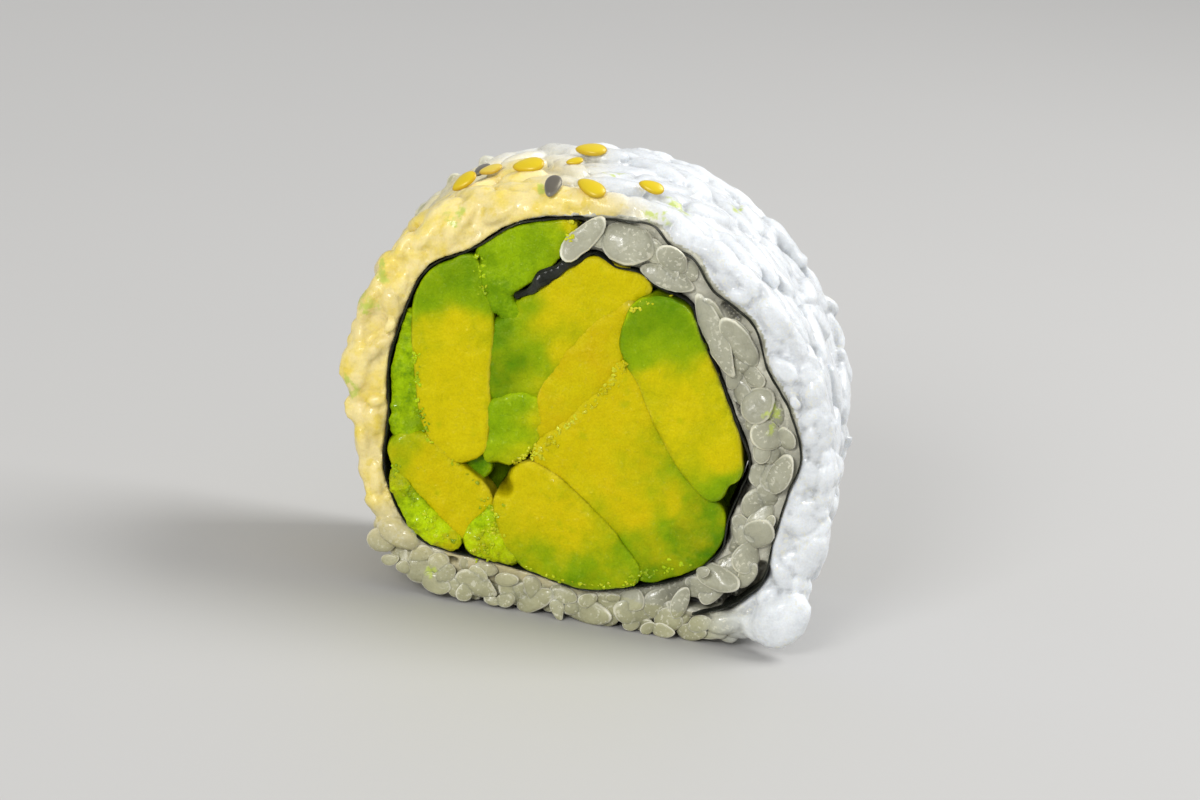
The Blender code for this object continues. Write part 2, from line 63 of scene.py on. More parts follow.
# The slice, in millimetres, as in the solids
HALF_LENGTH = 12.0
NORI_THICKNESS = 0.4
NORI_TIP_THICKNESS = 1.3
NORI_RECESS = 0.3
GAP = 0.3
GRAIN_RELIEF = 1.0
RIM_ROUNDING = 0.7
RICE_RECESS = 0.5
LEAN = 0.0007
SQUASH = 0.0008
GRAIN_PRESS = 0.16
NORI_CLEARANCE = 0.1
NORI_ROOM = 0.08          # millimetres from the nori's middle that the avocado leaves free
PAD_HALF_DEPTH = 10.0     # the flat that the roll rests on has no grains up to here
PAD_HEIGHT = 0.05
RIM_SINK = 0.7            # millimetres that the grains sink towards the rims
GRAIN_FLATNESS = 0.85
RANDOM_SEED = 11
ROLL_CENTRE = (0.0, 21.5)

# The roll's outer silhouette with its grains, as (x, z), clockwise from the lower left
ROLL_OUTLINE = [
    (-12.0, 0.5), (-17.0, 3.0), (-20.3, 8.0), (-22.4, 14.0), (-24.0, 21.5), (-23.2, 29.0),
    (-19.8, 35.4), (-14.0, 39.8), (-6.0, 42.2), (3.0, 42.3), (11.5, 38.6), (18.6, 32.0),
    (22.6, 24.4), (24.0, 16.0), (23.4, 7.0), (20.4, 1.7), (12.0, 0.2), (0.0, 0.2),
]

# The nori's centre line as (x, z), from its crumpled inner end clockwise to its outer end
NORI_LINE = [
    (-8.5, 30.8), (-6.9, 32.0), (-5.3, 33.7), (-2.0, 36.2), (0.5, 35.3), (2.8, 35.1),
    (4.6, 34.1), (7.9, 32.9), (9.2, 30.3), (11.3, 26.9), (13.6, 22.6), (15.6, 18.7),
    (15.1, 15.6), (14.4, 12.6), (14.1, 9.4), (10.8, 6.2), (6.4, 4.5), (1.6, 3.4),
    (-4.0, 4.3), (-8.7, 4.7), (-13.8, 5.3), (-16.8, 8.0), (-18.8, 12.2), (-19.0, 17.0),
    (-19.6, 22.0), (-18.9, 26.8), (-17.2, 31.9), (-13.2, 34.6), (-9.2, 37.8), (-4.0, 39.2),
    (1.2, 39.8), (3.4, 39.7), (5.2, 38.1), (7.6, 37.2), (9.9, 34.5), (14.0, 31.9),
    (15.9, 28.0), (18.6, 24.3), (20.3, 20.0), (19.6, 16.0), (18.9, 11.0), (18.5, 7.2),
    (15.6, 4.2), (12.4, 2.8),
]
TIP_KNOTS = 3.0
RICE_START_KNOT = 2.5
RICE_START_OUTER = 29.2
FILLING_END_OUTER = 29.1
OUTER_TURN_KNOT = 17.5
NORI_INSIDE = -1
NORI_OUTSIDE = 1

# Rice grains: shortest length, longest length, width, and how many darts are thrown
SIDE_GRAINS = [(5.6, 6.8, 2.6, 1600), (4.2, 5.0, 2.3, 700)]
FACE_GRAINS = [(4.0, 5.2, 2.3, 4000), (2.9, 3.5, 2.0, 4000)]
MORE_SIDE_GRAINS = [(5.2, 6.6, 2.5, 2500), (4.0, 5.0, 2.2, 2500)]
MORE_FACE_GRAINS = [(3.6, 4.6, 2.1, 5000), (2.6, 3.3, 1.8, 5000)]
SUNK_SIDE_GRAINS = [(5.4, 6.6, 2.6, 2500), (4.0, 4.8, 2.2, 1500)]
SUNK_FACE_GRAINS = [(3.6, 4.8, 2.2, 4000), (2.4, 3.2, 1.8, 4000)]
CUT_GRAINS = [(3.4, 4.4, 2.5, 5000), (2.7, 3.3, 2.1, 6000), (2.0, 2.5, 1.5, 8000)]
MORE_PRESS = 0.27         # share of their width that the added grains press into others
CUT_PRESS = 0.52          # and the same for the added cut grains, which lie like scales
MORE_CLEARANCE = -0.25    # of an added grain from the rice's edge at the nori
SUNK_SIDE = 0.8           # millimetres that the lower layer of grains lies deeper
SUNK_FACE = 0.6
OPEN_FROM = 0.35          # how open the rice must be for a cut grain to lie loose
CUT_TILT = 0.28           # how far a cut grain's face may lean, in radians
GRAIN_UPS = 0.28          # how much higher or lower than its neighbours a grain may lie
RIM_RADIUS = 1.3          # of the rim between the rolled side and a cut face, at the bottom
TOP_RIM_RADIUS = 3.0      # and at the top, where the rice rolls over softly
# painted shade in the valleys between grains
VALLEY_DARKNESS = 28.0    # how dark a valley gets for a millimetre of lift to the mean
FLOOR_CLEARANCE = 0.02    # millimetres from the floor to the lowest grains
RIM_COVER = 0.95          # millimetres from a grain's middle to the rim's surface

# Grains that stand out in the cut face: centre (x, z), length, width, angle in degrees
FACE_LANDMARKS = [
    ((-2.6, 37.5), 4.0, 1.7, 66.0), ((1.3, 37.5), 4.8, 2.6, -10.0),
    ((10.4, 31.7), 5.2, 1.7, -58.0),
    ((12.9, 30.5), 4.0, 1.8, -55.0), ((18.1, 18.2), 4.2, 2.2, 70.0), ((21.2, 4.6), 4.4, 3.6, 60.0),
    ((-22.6, 21.3), 4.4, 2.7, 85.0), ((-18.0, 4.8), 3.2, 2.4, 30.0), ((22.8, 18.3), 3.4, 2.3, 80.0),
]

# More grains that stand out in the front face: centre (x, z), length, width, angle, rise
LANDMARK_RISE = 0.4
DRAWN_LANDMARKS = [
    ((-2.9, 37.5), 5.8, 2.1, 53.0, 0.45), ((1.2, 37.7), 5.6, 3.8, -8.0, 0.1),
    ((5.4, 34.9), 5.6, 1.9, -12.0, -0.1), ((5.6, 36.9), 3.6, 2.0, -40.0, 0.0),
    ((10.6, 30.4), 8.6, 1.9, -58.0, 0.1), ((13.0, 30.0), 6.2, 2.2, -48.0, 0.0),
    ((15.6, 24.4), 3.8, 2.8, 60.0, 0.1), ((16.8, 21.6), 3.6, 2.6, -20.0, 0.15),
    ((18.6, 18.2), 4.4, 2.1, 72.0, 0.3), ((14.4, 6.9), 4.6, 2.4, -8.0, 0.1),
    ((17.6, 12.0), 3.4, 2.6, 40.0, 0.1), ((16.6, 9.4), 3.2, 2.4, 80.0, 0.1),
    ((13.0, 7.6), 1.3, 1.0, 30.0, 0.9), ((20.9, 3.9), 6.0, 4.6, 50.0, 0.5),
    ((-22.9, 21.6), 4.6, 3.0, 85.0, 0.0), ((-16.6, 5.6), 4.2, 2.4, -20.0, 0.0),
]

# Hollows in the front face's rice, where the nori shows and the rice gets painted shade: line (x, z),
# half width, depth
HOLLOWS = [
    ([(11.6, 3.7), (13.4, 3.75), (15.4, 4.5)], 0.45, 1.6),
    ([(15.4, 4.5), (17.2, 6.4), (18.2, 8.0)], 0.75, 1.9),
    ([(15.2, 14.6), (15.4, 16.2)], 0.5, 1.3), ([(10.8, 32.9), (12.2, 31.8)], 0.35, 1.0),
    ([(14.0, 12.2), (14.4, 10.6)], 0.4, 1.2), ([(13.4, 24.4), (13.9, 23.0)], 0.3, 1.0),
    ([(-11.4, 3.9), (-10.9, 3.8)], 0.25, 0.9),
]

# Sesame: place round the roll in degrees from +X, depth y, turn and lean towards +Y in
# degrees, size, and tone, where 0 is golden, 1 is black, and below 0 is paler
SEED_HEIGHT = 1.15        # millimetres from the core to a seed's middle
SEED_COVER = -0.1         # and from the soft rim's surface, upwards if below 0
SEEDS = [
    (134.0, -2.0, 20.0, -35.0, 0.9, 0.0), (127.6, -0.6, 0.0, -20.0, 0.75, -0.3),
    (117.8, -2.5, 0.0, -35.0, 1.0, 0.0), (104.6, 4.0, 0.0, -20.0, 1.0, -0.1),
    (107.0, -1.6, 20.0, -25.0, 0.55, 0.0), (98.0, -11.0, -30.0, -35.0, 1.0, 0.0),
    (84.0, -8.0, 0.0, -35.0, 0.8, 0.0), (108.6, -11.0, 80.0, -35.0, 0.9, 1.0),
    (131.2, 1.2, 70.0, -10.0, 0.8, 1.0), (171.0, 5.0, 60.0, 0.0, 0.9, 0.0),
    (176.0, -1.0, 10.0, 0.0, 1.0, 0.0),
]

# Ripeness of the avocado, 0 at the green skin side and 1 at the yellow middle, as samples
# (x, z, ripeness) on each piece, how ochre the piece is, and how rough its cut face
RIPENESS = {
    "avocado_left_slab": ([(-17.7, 28.7, 0.3), (-15.1, 31.5, 0.2), (-12.9, 32.5, 0.2),
                           (-11.6, 30.2, 0.3), (-16.8, 26.0, 0.8), (-11.0, 27.5, 0.85),
                           (-14.0, 27.0, 0.9), (-13.5, 23.0, 1.0), (-12.0, 16.0, 1.0)], 0.1, 0.8),
    "avocado_rim_sliver": ([(-18.5, 25.0, 0.3), (-17.5, 20.0, 0.2), (-16.5, 17.0, 0.5)], 0.0, 2.2),
    "avocado_lower_slab": ([(-18.0, 14.8, 0.5), (-17.6, 13.2, 0.6), (-15.5, 13.0, 0.9),
                            (-10.0, 9.0, 1.0), (-12.0, 10.5, 1.0)], 0.45, 0.9),
    "avocado_lower_strip": ([(-17.5, 11.0, 0.7), (-15.5, 8.6, 0.5), (-12.0, 6.0, 0.8)], 0.0, 2.9),
    "avocado_curl": ([(-10.5, 30.5, 0.25), (-9.5, 34.0, 0.35), (-7.5, 36.0, 0.42),
                      (-5.6, 36.6, 0.5), (-4.6, 37.8, 0.95)], 0.0, 1.4),
    "avocado_upper_slab": ([(-9.3, 27.2, 0.15), (-9.1, 22.4, 0.08), (-7.4, 24.1, 0.12),
                            (-7.7, 29.4, 0.5), (-6.3, 25.5, 0.45), (-5.2, 22.6, 0.6),
                            (-5.7, 28.8, 0.85), (-3.9, 26.0, 0.85), (-3.6, 31.1, 0.95),
                            (-1.2, 34.0, 1.0), (0.9, 32.9, 1.0)], 0.25, 0.9),
    "avocado_ochre_wedge": ([(2.5, 31.0, 1.0), (-1.5, 25.0, 1.0), (-4.2, 20.6, 0.85)], 0.9, 0.9),
    "avocado_round": ([(-9.2, 18.0, 0.35), (-7.0, 20.6, 0.45), (-7.0, 17.0, 0.5),
                       (-5.0, 19.0, 0.8), (-6.5, 15.4, 0.7)], 0.0, 1.3),
    "avocado_centre_slab": ([(13.0, 9.5, 0.05), (11.5, 13.4, 0.2), (8.0, 6.2, 0.1),
                             (10.3, 11.0, 0.15), (7.0, 8.6, 0.35), (9.0, 13.0, 0.85),
                             (5.5, 12.0, 1.0), (2.0, 24.0, 1.0), (0.0, 16.0, 1.0)], 0.5, 0.8),
    "avocado_bottom_slab": ([(1.5, 4.0, 0.25), (-2.8, 5.0, 0.5), (5.3, 6.2, 0.35),
                             (2.4, 7.4, 0.7), (-0.5, 8.5, 1.0), (-5.5, 12.5, 0.95)], 0.35, 0.8),
    "avocado_right_slab": ([(5.5, 32.0, 0.2), (3.4, 29.5, 0.2), (7.6, 30.5, 0.25),
                            (4.3, 27.3, 0.4), (9.6, 29.3, 0.5), (5.2, 25.4, 0.85),
                            (10.5, 27.4, 0.85), (8.5, 23.0, 1.0), (13.0, 18.5, 0.95),
                            (14.0, 16.0, 0.3)], 0.1, 0.7),
    "avocado_recess": ([(-10.5, 13.8, 0.1)], 0.0, 1.5),
    "avocado_mash": ([(-9.0, 6.0, 0.7), (-7.5, 8.0, 0.75), (-8.6, 9.0, 0.3)], 0.0, 2.6),
}

# Smeared crumbs of avocado along the seams: line (x, z), its spread, ripeness, and how many
CRUMB_LINES = [
    ([(2.8, 26.6), (0.6, 22.4), (-1.9, 19.4), (-3.5, 17.4), (-4.3, 15.9)], 0.5, 1.0, 120),
    ([(2.6, 31.6), (4.6, 33.0), (7.2, 33.2)], 0.3, 0.9, 25),
    ([(-12.8, 34.0), (-12.0, 32.3), (-11.6, 30.6)], 0.4, 0.55, 30),
    ([(-17.0, 23.5), (-16.2, 18.6), (-15.2, 16.4)], 0.5, 0.45, 40),
    ([(-15.4, 16.0), (-12.8, 14.2), (-9.6, 12.0)], 0.2, 0.7, 16),
    ([(-17.9, 12.2), (-14.2, 8.0), (-11.0, 5.9)], 0.5, 0.6, 50),
    ([(-8.2, 10.0), (-7.6, 7.4), (-8.4, 5.6)], 1.0, 0.7, 90),
    ([(-9.4, 5.5), (-4.6, 4.9), (1.6, 4.0), (6.6, 5.1)], 0.25, 0.7, 30),
    ([(5.9, 5.2), (7.0, 5.8), (8.6, 6.4), (12.4, 8.8)], 0.5, 0.5, 40),
    ([(-6.6, 14.6), (-5.0, 15.8), (-4.4, 17.0)], 0.35, 0.95, 36),
    ([(-4.5, 38.9), (-4.0, 38.4), (-4.2, 37.4)], 0.35, 0.95, 70),
]
CRUMB_SIZES = (0.1, 0.34)

# A pale crease across the right slab, and gaps between pieces, pushed in and darkened with painted
# shade: line, half width, depth
CREASED_NODE = "avocado_right_slab"
CREASE_WIDTH = 0.1
CREASE = [(5.3, 22.8), (7.4, 23.3), (9.2, 23.2), (12.0, 23.6)]
GAPS = [
    ([(-8.2, 13.9), (-7.2, 13.4), (-7.2, 12.0)], 0.6, 2.4),
    ([(-12.9, 33.4), (-12.6, 33.2)], 0.3, 1.0),
    ([(-10.3, 28.4), (-10.0, 28.2)], 0.35, 1.2),
    ([(-10.3, 24.6), (-10.3, 23.0)], 0.12, 0.8),
]

# Smears of avocado on the rice, as (x, y, z, reach)
STAINS = [
    (-15.6, -11.5, 37.0, 1.4), (-7.6, -10.0, 41.2, 1.2), (-22.2, -11.5, 30.5, 1.8),
    (-22.8, -11.0, 27.0, 1.5), (-2.0, -2.0, 42.5, 1.6), (-1.0, -5.0, 42.5, 1.4),
    (5.0, -8.0, 41.6, 2.0), (8.5, -6.5, 40.2, 1.2), (3.5, -12.0, 41.0, 2.2),
    (16.7, -12.0, 23.2, 1.6), (-19.8, -12.0, 36.0, 1.5), (-13.0, -11.8, 2.6, 0.8),
    (-23.4, -12.0, 19.0, 1.4), (-17.0, -12.0, 38.4, 1.0), (10.0, 4.0, 39.4, 1.3),
]


def colour_setting(name, description, default):
    return FloatVectorProperty(
        name=name, description=description, subtype="COLOR", size=3, min=0.0, max=1.0,
        default=default)


def length_setting(name, description, default, least=0.0, most=0.001):
    return FloatProperty(
        name=name, description=description, subtype="DISTANCE", unit="LENGTH", min=least,
        max=most, default=default)


def power_setting(name, description, default):
    return FloatProperty(
        name=name, description=description, subtype="POWER", unit="POWER", min=0.0,
        max=100.0, default=default)


class RiceSettings(PropertyGroup):
    white: colour_setting("White", "Rice on the lit side", (0.69, 0.715, 0.735))
    shaded: colour_setting("Shaded", "Rice on the shaded side", (0.58, 0.55, 0.40))
    # Cream and pale cream are painted warm light on the left of the rice, away from the key light; the
    # yellow streaks are mixed in only there.
    cream: colour_setting("Cream", "Rice stained by the filling", (0.78, 0.62, 0.12))
    pale_warm_light: colour_setting("Pale cream", "Slightly stained rice", (0.82, 0.685, 0.30))
    streak: colour_setting("Streak", "Yellow streaks on the creamy rice", (0.72, 0.55, 0.05))
    # The cut grain colour is painted shade on the cut grains where they are not lit; the grey grain
    # colour is painted shade between the nori's turns, where the dark nori shows through.
    cut: colour_setting("Cut grain", "Inside of a cut grain", (0.40, 0.39, 0.235))
    shaded_grey: colour_setting("Grey grain", "Cut grain between the turns", (0.37, 0.365, 0.27))
    # The cut rim colour is a painted highlight: the pale rims of the cut grains and their glints.
    cut_rim_highlight: colour_setting("Cut rim", "Pale rim of a cut grain", (0.78, 0.76, 0.62))
    smear: colour_setting("Smear", "Avocado smeared on the rice", (0.52, 0.62, 0.09))
    grain_growth: FloatProperty(
        name="Grain growth", description="Size of a drawn grain for each unit of its solid",
        unit="NONE", min=1.0, max=1.3, default=1.08)
    unevenness: length_setting("Unevenness", "How far a grain's skin strays from an ellipsoid", 0.00028)
    crumble: length_setting("Crumble", "Height of the torn skin on the stuck rice", 0.00009)
    voxel: length_setting("Mesh size", "Size of the rice's mesh", 0.00026, least=0.0002)
    starch: IntProperty(
        name="Starch", description="How often the valleys between grains are raised",
        min=0, max=50, default=1)


class SesameSettings(PropertyGroup):
    length: length_setting("Length", "Length of a sesame seed", 0.0031, 0.001, 0.005)
    width: length_setting("Width", "Width of a sesame seed", 0.0018, 0.0005, 0.003)
    thickness: length_setting("Thickness", "Thickness of a sesame seed", 0.001, 0.0003, 0.002)
    golden: colour_setting("Golden", "Toasted seed", (0.71, 0.535, 0.01))
    black: colour_setting("Black", "Black seed", (0.10, 0.09, 0.075))


class NoriSettings(PropertyGroup):
    colour: colour_setting("Colour", "Damp roasted seaweed", (0.010, 0.012, 0.007))
    thickness: length_setting("Thickness", "Drawn thickness of the sheet", 0.00015, 0.0001)
    crumple: length_setting("Crumple", "How far the edge strays from its line", 0.00025)


class AvocadoSettings(PropertyGroup):
    skin_green: colour_setting("Skin green", "Flesh next to the skin", (0.078, 0.228, 0.001))
    mid_green: colour_setting("Middle green", "Flesh between skin and middle", (0.235, 0.385, 0.002))
    yellow: colour_setting("Yellow", "Flesh in the middle", (0.62, 0.53, 0.002))
    ochre: colour_setting("Ochre", "Riper flesh", (0.55, 0.41, 0.002))
    lime: colour_setting("Lime", "Wet smeared flesh at the skin", (0.50, 0.70, 0.003))
    # The smear colour is used for the bright cut edges, partly smeared flesh and partly a painted
    # highlight, and for the painted sparkles.
    smear: colour_setting("Smear", "Bright smears and specks of flesh", (0.85, 0.72, 0.04))
    voxel: length_setting("Mesh size", "Size of the flesh's mesh", 0.0003, least=0.0002)
    growth: length_setting("Growth", "How far a piece swells against its neighbours", 0.0005)
    relief: length_setting("Relief", "Height of the cut face's waves", 0.00028)


class StageSettings(PropertyGroup):
    floor: colour_setting("Floor", "Pale studio floor", (0.50, 0.495, 0.485))
    key_power: power_setting("Key power", "Power of the key light", 3.6)
    fill_power: power_setting("Fill power", "Power of the front fill light", 3.2)
    camera_distance: length_setting("Camera distance", "From the camera to the cut face", 0.4, 0.1, 2.0)


class Value:
    """A socket of a node tree, with arithmetic that adds Math nodes."""

    def __init__(self, wires, socket):
        self.wires = wires
        self.socket = socket

    def maths(self, operation, *values):
        inputs = {i: value for i, value in enumerate((self, *values))}
        return self.wires.add("ShaderNodeMath", {"operation": operation}, inputs)

    def __add__(self, other):
        return self.maths("ADD", other)

    def __radd__(self, other):
        return self.maths("ADD", other)

    def __sub__(self, other):
        return self.maths("SUBTRACT", other)

    def __rsub__(self, other):
        return self.wires.add("ShaderNodeMath", {"operation": "SUBTRACT"}, {0: other, 1: self})

    def __mul__(self, other):
        return self.maths("MULTIPLY", other)

    def __rmul__(self, other):
        return self.maths("MULTIPLY", other)

    def __truediv__(self, other):
        return self.maths("DIVIDE", other)

    def __pow__(self, other):
        return self.maths("POWER", other)

    def output(self, key):
        return Value(self.wires, socket_of(self.socket.node.outputs, key))

    def between(self, low, high):
        """0 below low, 1 above high, and smooth in between."""
        settings = {"interpolation_type": "SMOOTHSTEP"}
        inputs = {"Value": self, "From Min": low, "From Max": high}
        return self.wires.add("ShaderNodeMapRange", settings, inputs)


def socket_of(sockets, key):
    """The socket with that number, identifier or name."""
    if isinstance(key, int):
        return sockets[key]
    for socket in sockets:
        if socket.identifier == key:
            return socket
    return sockets[key]


class Wires:
    """A node tree that is being built."""

    def __init__(self, tree):
        self.tree = tree

    def add(self, kind, settings=None, inputs=None, output=0):
        """A new node: its settings are set first, then its sockets' values or links."""
        node = self.tree.nodes.new(kind)
        for key, value in (settings or {}).items():
            setattr(node, key, value)
        for key, value in (inputs or {}).items():
            self.put(value, socket_of(node.inputs, key))
        return Value(self, socket_of(node.outputs, output)) if node.outputs else node

    def put(self, value, socket):
        if isinstance(value, Value):
            self.tree.links.new(value.socket, socket)
        elif socket.type == "RGBA" and len(value) == 3:
            socket.default_value = (*value, 1.0)
        else:
            socket.default_value = value

    def mix(self, factor, first, second):
        """Colour between the first and the second."""
        inputs = {"Factor_Float": factor, "A_Color": first, "B_Color": second}
        return self.add("ShaderNodeMix", {"data_type": "RGBA"}, inputs, "Result_Color")

    def scaled(self, colour, factor):
        inputs = {0: colour, "Scale": factor}
        return self.add("ShaderNodeVectorMath", {"operation": "SCALE"}, inputs)

    def attribute(self, name):
        return self.add("ShaderNodeAttribute", {"attribute_name": name}, output="Fac")

    def noise(self, place, scale, detail=3.0, roughness=0.55):
        inputs = {"Vector": place, "Scale": scale, "Detail": detail, "Roughness": roughness}
        return self.add("ShaderNodeTexNoise", {}, inputs)

    def object_place(self):
        return self.add("ShaderNodeTexCoord", output="Object")

    def bump(self, height, strength, distance):
        inputs = {"Height": height, "Strength": strength, "Distance": distance}
        return self.add("ShaderNodeBump", {}, inputs)


def new_material(name, constants):
    """A material with a Principled shader, its constant sockets set, ready for wiring."""
    material = bpy.data.materials.new(name)
    material.use_nodes = True
    wires = Wires(material.node_tree)
    shader = material.node_tree.nodes["Principled BSDF"]
    for key, value in constants.items():
        wires.put(value, shader.inputs[key])
    return material, wires, shader


def plug(wires, shader, **links):
    """Link values to the shader's sockets, named with underscores for spaces."""
    for key, value in links.items():
        wires.put(value, shader.inputs[key.replace("_", " ")])


def rice_material(settings):
    """Cooked rice: moist and translucent, with painted warm light at the left, painted lit and shaded
    copies, painted shade in its valleys and painted rim highlights on cut grains.
    """
    constants = {
        "IOR": 1.38, "Subsurface Weight": 0.35, "Subsurface Radius": (1.0, 0.9, 0.75),
        "Subsurface Scale": 0.0004, "Coat Roughness": 0.12,
    }
    material, wires, shader = new_material("rice", constants)
    place = wires.object_place()
    cream = wires.attribute("cream")
    lit = wires.attribute("lit")
    cut = wires.attribute("cut")
    edge = wires.attribute("edge")
    tone = wires.attribute("tone")
    stain = wires.attribute("stain")
    valley = wires.attribute("valley")
    cloud = wires.noise(place, 420.0)
    speckle = wires.noise(place, 1900.0, 4.0)
    grit = wires.noise(place, 5200.0, 3.0)
    patch = wires.noise(place, 260.0, 3.0)
    between = wires.attribute("between")
    fleck = wires.noise(place, 480.0, 3.0)
    # painted warm light on the left, from pale to deep, with yellow streaks only in it
    warm = wires.mix(fleck.between(0.36, 0.72), settings.pale_warm_light, settings.cream)
    skin = wires.mix(lit, settings.shaded, settings.white)
    skin = wires.mix(cream, skin, warm)
    streak = wires.noise(place, 700.0, 4.0)
    skin = wires.mix(cream * streak.between(0.58, 0.68) * 0.6, skin, settings.streak)
    # painted lit and shaded copies of the cut grains, with painted shade between the nori's turns
    cut_colour = wires.mix(lit, settings.cut, settings.white)
    cut_colour = wires.mix(between, cut_colour, settings.shaded_grey)
    # painted rim highlight on the cut grains, left out where they are painted lit
    rim = edge.between(0.86, 0.98) * (1.0 - lit) * (0.3 + 1.1 * cloud)
    inside = wires.mix(rim, cut_colour, settings.cut_rim_highlight)
    open_cut = cut * (1.0 - cream) + between
    colour = wires.mix(open_cut.between(0.0, 1.0), skin, inside)
    glassy = open_cut.between(0.0, 1.0)
    shade = 1.0 + 0.14 * tone + (0.25 + 0.45 * glassy) * (cloud - 0.5) + 0.22 * (grit - 0.5)
    # painted shade in the valleys, less where the painted warm light lies
    shade = shade - 0.3 * valley * (1.0 - 0.6 * cream)
    colour = wires.scaled(colour, shade.maths("MAXIMUM", 0.06))
    blot = wires.noise(place, 900.0, 3.0)
    smear = (stain * (blot - 0.36) * 4.0).between(0.3, 0.9) * 0.8
    colour = wires.mix(smear, colour, settings.smear)
    # painted glints on the open cut grains
    painted_glint = wires.noise(place, 2700.0, 2.0).between(0.57, 0.63) * patch.between(0.4, 0.55)
    colour = wires.mix(painted_glint * glassy * 0.55, colour, settings.cut_rim_highlight)
    height = cloud * 0.5 + speckle * 0.9 + 0.25 * grit
    plug(wires, shader, Base_Color=colour, Roughness=0.2 + 0.3 * cloud,
         Coat_Weight=(0.2 + 0.5 * speckle.between(0.45, 0.65)) * (1.0 - 0.3 * cream),
         Normal=wires.bump(height, 0.5, 0.00025))
    return material


def sesame_material(settings):
    """Toasted seeds with fine ridges, from pale to golden, and some black ones."""
    material, wires, shader = new_material("sesame", {
        "IOR": 1.45, "Specular Tint": (1.0, 0.85, 0.4), "Coat Roughness": 0.3})
    place = wires.object_place()
    tone = wires.attribute("tone")
    edge = wires.attribute("edge")
    cloud = wires.noise(place, 900.0, 4.0)
    pale = wires.mix((0.0 - tone).between(0.0, 1.0), settings.golden, (0.86, 0.74, 0.36))
    colour = wires.mix(tone.between(0.3, 0.8), pale, settings.black)
    brown = wires.mix(tone.between(0.3, 0.8), (0.42, 0.20, 0.01), (0.30, 0.29, 0.26))
    colour = wires.mix(edge.between(0.75, 1.05) * 0.45 + 0.12 * cloud, colour, brown)
    plug(wires, shader, Base_Color=colour, Roughness=0.26 + 0.2 * cloud, Coat_Weight=0.25 + 0.2 * cloud,
         Normal=wires.bump(cloud, 0.3, 0.00012))
    return material


def nori_material(settings):
    """Damp seaweed: nearly black green, wrinkled, satin with wet patches."""
    material, wires, shader = new_material("nori", {
        "IOR": 1.4, "Specular IOR Level": 0.35, "Coat Roughness": 0.15})
    place = wires.object_place()
    fibre = wires.noise(place, 1500.0, 6.0, 0.65)
    patch = wires.noise(place, 260.0, 3.0)
    light = tuple(3.2 * c + 0.004 for c in settings.colour)
    colour = wires.mix((fibre * patch).between(0.18, 0.5), settings.colour, light)
    crease = wires.noise(place, 700.0, 2.0)
    plug(wires, shader, Base_Color=colour, Roughness=0.3 + 0.4 * patch,
         Coat_Weight=patch.between(0.45, 0.62) * 0.5,
         Normal=wires.bump(0.5 * fibre + crease, 1.0, 0.0012))
    return material


def flesh_material(settings):
    """Avocado: green at the skin, yellow in the middle, mottled and moist, with bright cut edges that
    are partly smeared flesh and partly a painted highlight, painted sparkles, and painted shade in the
    seams and gaps.
    """
    constants = {
        "IOR": 1.42, "Specular IOR Level": 0.3, "Specular Tint": (1.0, 0.93, 0.25),
        "Subsurface Weight": 0.2, "Subsurface Radius": (1.0, 0.9, 0.1),
        "Subsurface Scale": 0.001, "Coat Roughness": 0.12,
    }
    material, wires, shader = new_material("avocado flesh", constants)
    place = wires.object_place()
    ripe = wires.attribute("ripeness")
    ochre = wires.attribute("ochre")
    cloud = wires.noise(place, 330.0, 4.0)
    fleck = wires.noise(place, 1300.0, 5.0)
    drag = wires.add("ShaderNodeMapping", {}, {
        "Vector": place, "Rotation": (0.0, 0.7, 0.0), "Scale": (2600.0, 300.0, 380.0)})
    streak = wires.noise(drag, 1.0, 3.0)
    rim = wires.attribute("rim")
    rough = wires.attribute("rough")
    spark = wires.noise(place, 2300.0, 2.0)
    grain = wires.noise(place, 5200.0, 2.0)
    olive = wires.noise(place, 520.0, 2.0)
    where = ripe + 0.22 * (cloud - 0.5) + 0.14 * (fleck - 0.5)
    green = wires.mix(where.between(0.0, 0.5), settings.skin_green, settings.mid_green)
    colour = wires.mix(where.between(0.42, 0.95), green, settings.yellow)
    colour = wires.mix(ochre * cloud.between(0.3, 0.75), colour, settings.ochre)
    colour = wires.mix(olive.between(0.6, 0.8) * 0.35, colour, settings.mid_green)
    # bright cut edges: partly smeared flesh, partly a painted highlight on the lit edges
    bright = wires.mix(where.between(0.45, 0.95), settings.lime, settings.smear)
    colour = wires.mix(rim * cloud.between(0.4, 0.6) * 0.75, colour, bright)
    seam = wires.attribute("seam")
    crease = wires.attribute("crease")
    lime = (cloud + 0.5 * fleck - 0.5).between(0.1, 0.4) * (0.45 * rough - 0.45)
    colour = wires.mix(lime.maths("MAXIMUM", 0.0), colour, settings.lime)
    # painted sparkle highlights on the moist flesh
    painted_sparkles = spark.between(0.68, 0.78) * (0.1 + 0.3 * rough).maths("MINIMUM", 0.8)
    colour = wires.mix(painted_sparkles, colour, bright)
    colour = wires.mix(crease * 0.25 * cloud, colour, settings.smear)
    # painted shade in the seams and gaps; the rest is the flesh's mottled tone
    shade = 0.76 + 0.26 * cloud + 0.16 * fleck + 0.3 * (grain - 0.45) - 0.45 * seam
    colour = wires.scaled(colour, shade)
    height = 0.4 * streak + 0.6 * fleck + 0.6 * cloud + 0.2 * grain + 0.5 * rough * spark
    plug(wires, shader, Base_Color=colour, Roughness=0.22 + 0.3 * fleck,
         Coat_Weight=0.25 * rim + 0.3 * rough * spark.between(0.6, 0.7),
         Normal=wires.bump(height, 0.5, 0.0003))
    return material


